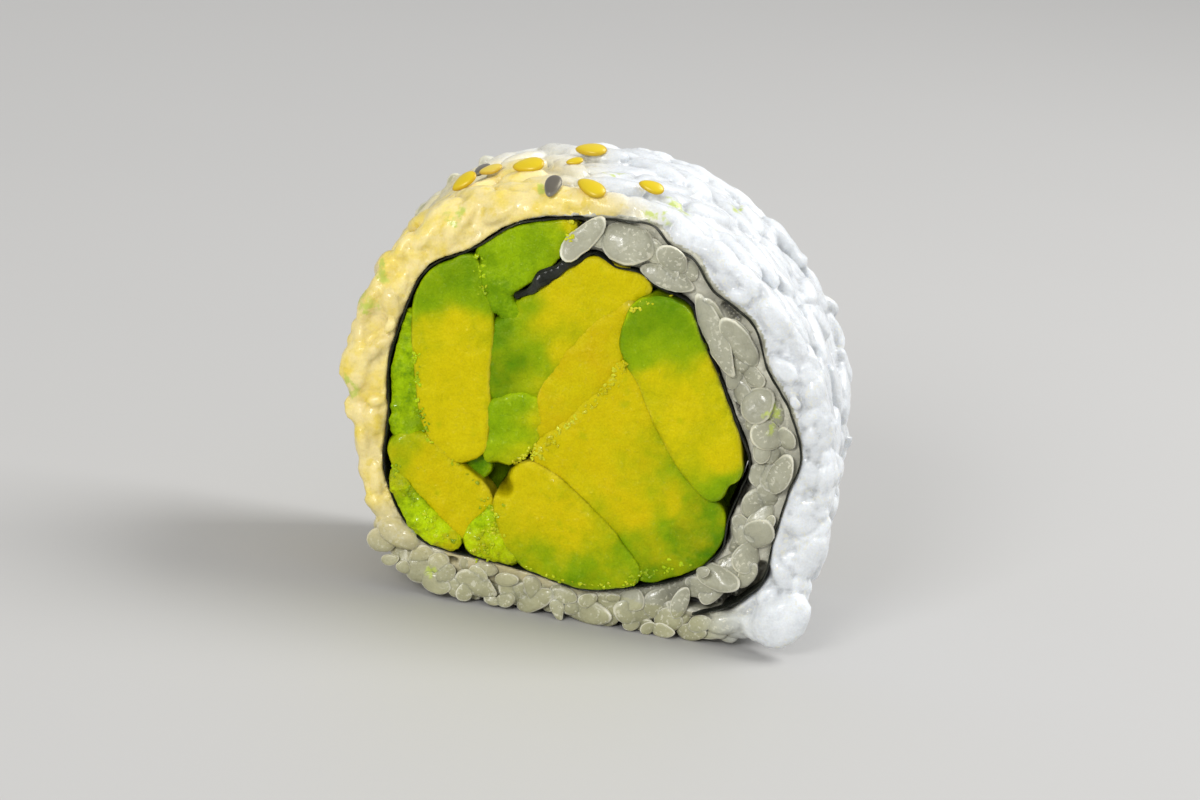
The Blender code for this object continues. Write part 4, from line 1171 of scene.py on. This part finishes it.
class URAMAKI_OT_rice(Operator):
    """The rice: grains of the rolled side and both cut faces, stuck together by starch"""
    bl_idname = "uramaki.rice"
    bl_label = "Rice"

    def execute(self, context):
        settings = context.scene.uramaki_rice
        material = rice_material(settings)
        stuck, cut = self.places(settings)
        for name, end in (("rice_front", -1.0), ("rice_back", 1.0)):
            inputs = {"Sides": 14, "Rings": 9, "Taper": 0.25, "Flat Top": 0.5, "Seed": 1.0,
                      "Unevenness": settings.unevenness, "Lump Scale": 330.0}
            mine = [place for place in stuck if place[0][1] * end >= 0.0]
            grains = grow_on_points(name + "_stuck", mine, material, inputs)
            core = self.core(name, end, material)
            self.finish(stuck_together(core, grains, settings.voxel), settings)
            inputs |= {"Sides": 22, "Rings": 14, "Lump Scale": 420.0, "Flat Top": 0.38,
                       "Unevenness": 1.5 * settings.unevenness}
            mine = [place for place in cut if place[0][1] * end >= 0.0]
            obj = grow_on_points(name + "_cut_grains", mine, material, inputs)
            self.shade_cut(obj.data)
            finish_piece(obj, "rice", "rice")
        return {"FINISHED"}

    @staticmethod
    def places(settings):
        """The grains that are stuck into one mass, and the cut ones that lie like scales."""
        random = np.random.default_rng(RANDOM_SEED)
        stuck, cut_grains = [], []
        for field in scatter_grains():
            for centre, axis, normal, length, width, cut in field.grains:
                open_cut = cut * open_rice(centre[None])[0] > OPEN_FROM
                size = np.array([length, width, GRAIN_FLATNESS * width]) * settings.grain_growth
                cream, lit, _ = zones(centre[None])
                ups = GRAIN_UPS * (1.0 + 2.0 * max(cream[0], lit[0]))
                centre = centre + random.uniform(-ups, 0.5 * ups) * normal
                tone = random.uniform(0.0, 1.0)
                if open_cut:
                    tilt = random.uniform(-CUT_TILT, CUT_TILT, 2)
                    axis = unit(axis + tilt[0] * normal)
                    normal = unit(normal - tilt[0] * axis + tilt[1] * np.cross(normal, axis))
                    axis = unit(axis - (axis @ normal) * normal)
                    size *= (0.92, 1.0, 0.62)
                    cut_grains.append((centre, axis, normal, size, tone, 1.0))
                else:
                    centre, axis, normal = field.over_rim(centre, axis, normal)
                    stuck.append((centre, axis, normal, size, tone, cut * abs(normal[1])))
        return stuck, cut_grains

    def finish(self, obj, settings):
        """Sticky starch, crumbled skin, hollows and colours on a mass of rice, with painted shade in
        its valleys, deep cut faces and hollows.
        """
        mesh = obj.data
        x, _, z = points_of(mesh).T
        sticky = np.clip(0.3 - 0.012 * x + 0.012 * (z - 20.0), 0.05, 0.6)
        fill_valleys(mesh, sticky, settings.starch)
        points = points_of(mesh)
        cream, lit, _ = zones(points)
        torn = settings.crumble / MM
        height = torn * (1.0 + 0.6 * cream) * waves(points, 1.3, 3.0)
        height += torn * (0.5 + 0.1 * cream - 0.4 * lit) * waves(points, 0.5, 9.0)
        set_points(mesh, points + normals_of(mesh) * height[:, None])
        hollow = self.hollow_out(mesh)
        rest_on_floor(mesh)
        tint_rice(mesh)
        # painted shade: deep in the open cut faces, in the hollows and in the valleys
        sunk = np.clip((HALF_LENGTH - 0.35 - np.abs(points[:, 1])) / 0.7, 0.0, 1.0)
        open_cut = open_rice(points) * (np.abs(points[:, 1]) > HALF_LENGTH - 2.5)
        valley = np.clip(lift_to_mean(mesh)[0] * VALLEY_DARKNESS, 0.0, 1.0)
        valley = np.maximum(valley, 1.4 * sunk * open_cut)
        store(mesh, "valley", "FLOAT", np.maximum(valley, 2.9 * hollow))
        finish_piece(obj, "rice", "rice")

    @staticmethod
    def shade_cut(mesh):
        """Paint shade on what lies deep between the scales."""
        rest_on_floor(mesh)
        tint_rice(mesh)
        depth = HALF_LENGTH - np.abs(points_of(mesh)[:, 1])
        store(mesh, "valley", "FLOAT", ramp(depth, 0.2, 1.2))

    @staticmethod
    def hollow_out(mesh):
        """Push the front face in where the nori shows, and say by how much of the depth."""
        points = points_of(mesh)
        most = np.zeros(len(points))
        front = ramp(-points[:, 1], 6.0, 3.0)
        for line, reach, depth in HOLLOWS:
            share = np.clip(1.5 - off_line(points, line) / reach, 0.0, 1.0) * front
            points[:, 1] += np.where(share > most, share * depth, 0.0)
            most = np.maximum(most, share)
        set_points(mesh, points)
        return most

    @staticmethod
    def core(name, end, material):
        """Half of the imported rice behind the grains: a ring that follows the nori."""
        side = inset(turned_left(smooth_loop(ROLL_OUTLINE, 1.5)), GRAIN_RELIEF + 0.5)
        rim = inset(side, RIM_ROUNDING)
        hole = rice_hole(-0.02, 0.8)
        face = end * (HALF_LENGTH - RICE_RECESS - 0.6)
        stuck = 1.0 - open_rice(np.insert(hole, 1, -HALF_LENGTH, axis=1))
        bm = bmesh.new()
        outer = [add_ring(bm, rim, face), add_ring(bm, side, face - end * RIM_ROUNDING),
                 add_ring(bm, side, -0.6 * end)]
        inner = [add_ring(bm, hole, face + (0.2 + 0.5 * stuck) * end), add_ring(bm, hole, -0.6 * end)]
        for ring, following in zip(outer, outer[1:]):
            bridge(bm, ring, following)
        bridge(bm, inner[0], inner[1])
        fill_between(bm, outer[0], inner[0])
        fill_between(bm, outer[-1], inner[-1])
        return object_from(bm, name, material)


class URAMAKI_OT_sesame(Operator):
    """Sesame seeds scattered on the top"""
    bl_idname = "uramaki.sesame"
    bl_label = "Sesame seeds"

    def execute(self, context):
        settings = context.scene.uramaki_sesame
        field = GrainField()
        core = field.core
        angles = np.degrees(np.arctan2(core[:, 1] - ROLL_CENTRE[1], core[:, 0] - ROLL_CENTRE[0]))
        size = np.array([settings.length, settings.width, settings.thickness]) / MM
        places = []
        for angle, depth, turn, lean, share, tone in SEEDS:
            index = int(np.argmin(np.abs(angles - angle)))
            way = unit(core[(index + 2) % len(core)] - core[index - 2])
            normal = np.array([way[1], 0.0, -way[0]])
            x, z = core[index]
            centre = np.array([x, depth, z]) + SEED_HEIGHT * normal
            lean = np.radians(lean)
            facing = np.cos(lean) * normal + np.sin(lean) * np.array([0.0, 1.0, 0.0])
            round_way = np.array([way[0], 0.0, way[1]])
            centre = field.over_rim(centre, round_way, normal, SEED_COVER)[0]
            turn = np.radians(turn)
            axis = np.cos(turn) * round_way + np.sin(turn) * np.cross(facing, round_way)
            places.append((centre, axis, facing, share * size, tone, 0.0))
        inputs = {"Sides": 20, "Rings": 14, "Taper": 0.5, "Unevenness": 0.00006,
                  "Lump Scale": 600.0, "Flat Top": 0.9, "Seed": 3.0}
        obj = grow_on_points("sesame_seeds", places, sesame_material(settings), inputs)
        finish_piece(obj, "rice", "rice")
        return {"FINISHED"}


class URAMAKI_OT_nori(Operator):
    """The seaweed sheet, wound into a spiral with a crumpled inner end"""
    bl_idname = "uramaki.nori"
    bl_label = "Nori"

    # The sheet's rounded edge: share of the half thickness, and millimetres past the edge
    EDGE = [(0.5, 0.1), (1.0, -0.1), (1.0, -0.7)]

    def execute(self, context):
        settings = context.scene.uramaki_nori
        last = len(NORI_LINE) - 1.0
        places = np.linspace(0.0, last, int(last * 18))
        line = smooth_path(NORI_LINE, places)
        normals = left_normals(line)
        tip = np.clip(1.2 - places / TIP_KNOTS, 0.0, 1.0)
        crumple = settings.crumple / MM
        flat = np.column_stack([line[:, 0], 0.0 * line[:, 0], line[:, 1]])
        half = nori_half_thickness(places, settings.thickness / MM)
        half *= 1.0 + (0.35 + 0.3 * tip) * waves(flat, 1.1, 2.0)
        sway = crumple * (0.3 + 1.2 * tip) * waves(flat, 1.3, 5.0)
        edge = HALF_LENGTH - 0.8 * NORI_RECESS + crumple * (0.6 + 2.0 * tip) * waves(flat, 0.9, 8.0)
        bm = bmesh.new()
        sections = [
            self.section(bm, *values) for values in zip(line, normals, half, sway, edge)]
        for section, following in zip(sections, sections[1:]):
            bridge(bm, section, following)
        bm.faces.new(sections[0])
        bm.faces.new(sections[-1])
        obj = object_from(bm, "nori_sheet", nori_material(settings))
        finish_piece(obj, "nori", "nori")
        return {"FINISHED"}

    @classmethod
    def section(cls, bm, middle, normal, half, shift, front):
        """The points round the sheet at one place of its line, bent only near its edges."""
        corners = [(side, -front - past) for side, past in cls.EDGE]
        corners += [(side, front + past) for side, past in reversed(cls.EDGE)]
        corners += [(-side, depth) for side, depth in reversed(corners)]
        points = []
        for side, depth in corners:
            bend = abs(depth) > HALF_LENGTH - 1.2
            x, z = middle + normal * (side * half + shift * bend)
            points.append(bm.verts.new(settled(x, depth, z)))
        return points


class URAMAKI_OT_avocado(Operator):
    """The avocado pieces, with soft edges, wavy cut faces and their own ripeness"""
    bl_idname = "uramaki.avocado"
    bl_label = "Avocado"

    def execute(self, context):
        settings = context.scene.uramaki_avocado
        material = flesh_material(settings)
        for seed, (node, (samples, ochre, rough)) in enumerate(RIPENESS.items()):
            obj = self.flesh(node, settings, material, seed, rough)
            self.ripen(obj.data, samples, ochre, seed)
            finish_piece(obj, node, node)
        return {"FINISHED"}

    @staticmethod
    def soft_copy(node, settings, material):
        """A remeshed copy of the node's solid, and a search tree of its side walls."""
        bm = bmesh.new()
        bm.from_mesh(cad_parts[node].data)
        bmesh.ops.remove_doubles(bm, verts=bm.verts, dist=1e-6)
        corners = [vert.co.copy() for vert in bm.verts]
        walls = [face for face in bm.faces if abs(face.normal.y) < 0.5]
        tree = BVHTree.FromPolygons(corners, [[v.index for v in face.verts] for face in walls])
        obj = object_from(bm, node + "_flesh", material)
        remesh = obj.modifiers.new("even mesh", "REMESH")
        remesh.mode = "VOXEL"
        remesh.voxel_size = settings.voxel
        remesh.use_smooth_shade = True
        soften = obj.modifiers.new("soften", "SMOOTH")
        soften.factor = 0.5
        soften.iterations = 1
        return made_plain(obj), tree

    def flesh(self, node, settings, material, seed, rough):
        """The node's soft copy, grown against its neighbours, with a cut face's relief."""
        obj, walls = self.soft_copy(node, settings, material)
        mesh = obj.data
        points = points_of(mesh)
        normals = normals_of(mesh)
        from_wall = np.array([walls.find_nearest(Vector(p) * MM)[3] for p in points]) / MM
        dark, pushed = self.gaps(points)
        crease = np.clip(1.5 - off_line(points, CREASE) / CREASE_WIDTH, 0.0, 1.0)
        crease *= (points[:, 1] < 0.0) * (node == CREASED_NODE)
        # the bright edge colour near the walls is partly smeared flesh and partly a painted highlight
        store(mesh, "rim", "FLOAT", np.clip(1.2 - from_wall / 0.35, 0.0, 1.0))
        store(mesh, "crease", "FLOAT", crease)
        store(mesh, "rough", "FLOAT", np.full(len(points), rough))
        # painted shade along the seams between pieces and in the gaps
        store(mesh, "seam", "FLOAT", np.clip(1.0 - from_wall / 0.12, 0.0, 1.0) + 1.8 * dark)
        facing = np.clip(np.abs(normals[:, 1]) * 1.6 - 0.6, 0.0, 1.0)
        height = self.relief(points, from_wall, settings.relief / MM, seed, rough)
        sideways = self.growth(points, normals, settings, seed)
        sideways[:, 1] = np.maximum(sideways[:, 1], pushed)
        set_points(mesh, points + normals * (facing * height)[:, None] + sideways)
        return obj

    @staticmethod
    def relief(points, from_wall, size, seed, rough):
        """Waves of a cut face, rougher near the piece's walls."""
        near_wall = np.clip(1.3 - from_wall / 1.1, 0.0, 1.0)
        height = size * waves(points, 4.5, seed)
        height += rough * size * (0.35 + 0.5 * near_wall) * waves(points, 1.6, seed + 20.0)
        height += rough * size * (0.12 + 0.6 * near_wall) * waves(points, 0.7, seed + 40.0)
        return height

    @staticmethod
    def growth(points, normals, settings, seed):
        """How far each point moves sideways, as far as the nori leaves room."""
        sideways = normals * (1.0, 0.0, 1.0)
        length = np.linalg.norm(sideways, axis=1)
        grown = settings.growth / MM * (1.0 + 0.25 * waves(points, 1.4, seed + 60.0))
        grown = np.minimum(grown, distance_to_nori(points) - NORI_ROOM)
        grown *= np.clip(3.0 * length, 0.0, 1.0)
        return sideways * (grown / np.maximum(length, 0.01))[:, None]

    @staticmethod
    def gaps(points):
        """How much painted shade the gaps between pieces get, and how far the front face is pushed in.
        """
        dark = np.zeros(len(points))
        pushed = np.zeros(len(points))
        for line, reach, depth in GAPS:
            share = np.clip(1.6 - off_line(points, line) / reach, 0.0, 1.0)
            share *= points[:, 1] < -6.0
            dark = np.maximum(dark, share)
            pushed = np.maximum(pushed, share * depth)
        return dark, pushed

    @staticmethod
    def ripen(mesh, samples, ochre, seed):
        """Blend the ripeness samples over the piece by their nearness."""
        points = points_of(mesh)
        wander = 0.9 * waves(points, 3.0, seed + 80.0)
        places = points[:, [0, 2]] + wander[:, None]
        samples = np.array(samples)
        apart = np.linalg.norm(places[:, None] - samples[None, :, :2], axis=2)
        weights = 1.0 / (apart + 0.2) ** 2.6
        store(mesh, "ripeness", "FLOAT", (weights @ samples[:, 2]) / weights.sum(axis=1))
        store(mesh, "ochre", "FLOAT", np.full(len(points), ochre))


class URAMAKI_OT_crumbs(Operator):
    """Smeared crumbs of avocado along the seams of the front face"""
    bl_idname = "uramaki.crumbs"
    bl_label = "Avocado crumbs"

    def execute(self, context):
        random = np.random.default_rng(RANDOM_SEED)
        places = []
        for line, spread, ripeness, count in CRUMB_LINES:
            along = smooth_path(line, random.uniform(0.0, len(line) - 1.0, count))
            for x, z in along + random.normal(0.0, 0.5 * spread, (count, 2)):
                size = random.uniform(*CRUMB_SIZES) * np.array([1.5, 1.0, 0.6])
                turn = random.uniform(0.0, np.pi)
                axis = np.array([np.cos(turn), 0.0, np.sin(turn)])
                depth = self.surface_depth(x, z)
                if depth is not None:
                    centre = np.array([x, depth - 0.1 * size[2], z])
                    ripe = ripeness + random.uniform(-0.15, 0.1)
                    places.append((centre, axis, np.array([0.0, -1.0, 0.0]), size, ripe, 0.0))
        settings = context.scene.uramaki_avocado
        inputs = {"Sides": 8, "Rings": 6, "Taper": 0.3, "Flat Top": 0.6, "Seed": 4.0,
                  "Unevenness": 0.00016, "Lump Scale": 2600.0}
        material = flesh_material(settings)
        obj = grow_on_points("avocado_crumbs", places, material, inputs)
        ripeness = np.empty(len(obj.data.vertices), np.float32)
        obj.data.attributes["tone"].data.foreach_get("value", ripeness)
        store(obj.data, "ripeness", "FLOAT", ripeness)
        # the crumbs take the bright edge colour, partly smeared flesh and partly a painted highlight
        store(obj.data, "rim", "FLOAT", np.full(len(ripeness), 1.4))
        store(obj.data, "rough", "FLOAT", np.full(len(ripeness), 2.0))
        finish_piece(obj, "avocado_mash")
        return {"FINISHED"}

    @staticmethod
    def surface_depth(x, z):
        """Depth of the front face's surface at (x, z), or nothing where it lies deep."""
        start = Vector((x, -2.0 * HALF_LENGTH, z)) * MM
        graph = bpy.context.evaluated_depsgraph_get()
        hit, place, *_ = bpy.context.scene.ray_cast(graph, start, Vector((0.0, 1.0, 0.0)))
        depth = place.y / MM
        return depth if hit and depth < 2.0 - HALF_LENGTH else None


class URAMAKI_OT_filling(Operator):
    """Mashed avocado that closes the gaps between the slices, painted dark as the shade inside the gaps
    """
    bl_idname = "uramaki.filling"
    bl_label = "Mash between the slices"

    def execute(self, context):
        outline = inset(filling_outline(), 0.1)
        depth = HALF_LENGTH - 3.0
        bm = bmesh.new()
        front = add_ring(bm, outline, -depth)
        back = add_ring(bm, outline, depth)
        bridge(bm, front, back)
        bm.faces.new(front)
        bm.faces.new(back)
        bmesh.ops.triangulate(bm, faces=bm.faces)
        obj = object_from(bm, "mash_between", flesh_material(context.scene.uramaki_avocado))
        store(obj.data, "ripeness", "FLOAT", np.full(len(obj.data.vertices), 0.3))
        # painted shade: the mash seen through the gaps is darkened
        store(obj.data, "seam", "FLOAT", np.full(len(obj.data.vertices), 1.4))
        finish_piece(obj, "avocado_mash", "avocado_mash")
        return {"FINISHED"}


class URAMAKI_OT_stage(Operator):
    """Pale floor, soft studio light and the camera at the photograph's angle"""
    bl_idname = "uramaki.stage"
    bl_label = "Stage"

    AIM = Vector((0.6, -12.0, 22.1)) * MM
    AZIMUTH = 4.5
    ELEVATION = 14.0
    ROLL = 8.7
    PIXELS_PER_MM = 10.6
    IMAGE_WIDTH = 1200
    SENSOR = 36.0

    def execute(self, context):
        settings = context.scene.uramaki_stage
        self.floor(settings)
        self.lights(settings)
        self.camera(settings)
        context.scene.view_settings.view_transform = "Standard"
        return {"FINISHED"}

    @staticmethod
    def floor(settings):
        bm = bmesh.new()
        bmesh.ops.create_grid(bm, x_segments=2, y_segments=2, size=3.0)
        floor = object_from(bm, "floor", floor_material(settings))

    @staticmethod
    def lights(settings):
        world = bpy.data.worlds.new("studio")
        world.use_nodes = True
        background = world.node_tree.nodes["Background"]
        background.inputs["Color"].default_value = (1.0, 1.0, 1.0, 1.0)
        background.inputs["Strength"].default_value = 0.55
        bpy.context.scene.world = world
        target = Vector((0.0, 0.0, 0.02))
        for name, place, size, power in (
                ("key", (0.42, 0.18, 0.52), 0.35, settings.key_power),
                ("fill", (-0.2, -0.7, 0.35), 0.22, settings.fill_power)):
            light = bpy.data.lights.new(name, "AREA")
            light.size = size
            light.energy = power
            lamp = bpy.data.objects.new(name, light)
            lamp.location = place
            lamp.rotation_euler = (target - Vector(place)).to_track_quat("-Z", "Y").to_euler()
            bpy.context.scene.collection.objects.link(lamp)

    def camera(self, settings):
        azimuth, elevation, roll = np.radians((self.AZIMUTH, self.ELEVATION, self.ROLL))
        back = Vector((np.sin(azimuth) * np.cos(elevation), -np.cos(azimuth) * np.cos(elevation),
                       np.sin(elevation)))
        right = Vector((np.cos(azimuth), np.sin(azimuth), 0.0))
        up = back.cross(right)
        rolled_right = np.cos(roll) * right + np.sin(roll) * up
        rolled_up = np.cos(roll) * up - np.sin(roll) * right
        camera = bpy.data.cameras.new("camera")
        camera.sensor_width = self.SENSOR
        focal_pixels = self.PIXELS_PER_MM * settings.camera_distance / MM
        camera.lens = focal_pixels * self.SENSOR / self.IMAGE_WIDTH
        camera.clip_start = 0.01
        obj = bpy.data.objects.new("camera", camera)
        turn = Matrix((rolled_right, rolled_up, back)).transposed().to_4x4()
        obj.matrix_world = Matrix.Translation(self.AIM + settings.camera_distance * back) @ turn
        bpy.context.scene.collection.objects.link(obj)
        bpy.context.scene.camera = obj


class URAMAKI_PT_panel(Panel):
    """Steps and settings of the uramaki roll"""
    bl_label = "Uramaki roll"
    bl_idname = "URAMAKI_PT_panel"
    bl_space_type = "VIEW_3D"
    bl_region_type = "UI"
    bl_category = "Uramaki"

    def draw(self, context):
        layout = self.layout
        for step in STEPS:
            layout.operator(step.bl_idname)
        for name in SETTINGS:
            box = layout.box()
            group = getattr(context.scene, name)
            for prop in group.bl_rna.properties:
                if prop.identifier in type(group).__annotations__:
                    box.prop(group, prop.identifier)


SETTINGS = {
    "uramaki_rice": RiceSettings,
    "uramaki_sesame": SesameSettings,
    "uramaki_nori": NoriSettings,
    "uramaki_avocado": AvocadoSettings,
    "uramaki_stage": StageSettings,
}
STEPS = (
    URAMAKI_OT_rice, URAMAKI_OT_sesame, URAMAKI_OT_nori,
    URAMAKI_OT_avocado, URAMAKI_OT_filling, URAMAKI_OT_crumbs, URAMAKI_OT_stage,
)


def register():
    for cls in (*SETTINGS.values(), *STEPS, URAMAKI_PT_panel):
        bpy.utils.register_class(cls)
    for name, group in SETTINGS.items():
        setattr(bpy.types.Scene, name, PointerProperty(type=group))


def unregister():
    for name in SETTINGS:
        delattr(bpy.types.Scene, name)
    for cls in reversed((*SETTINGS.values(), *STEPS, URAMAKI_PT_panel)):
        bpy.utils.unregister_class(cls)


def main():
    register()
    bpy.ops.uramaki.rice()
    bpy.ops.uramaki.sesame()
    bpy.ops.uramaki.nori()
    bpy.ops.uramaki.avocado()
    bpy.ops.uramaki.filling()
    bpy.ops.uramaki.crumbs()
    bpy.ops.uramaki.stage()


if __name__ == "__main__":
    main()
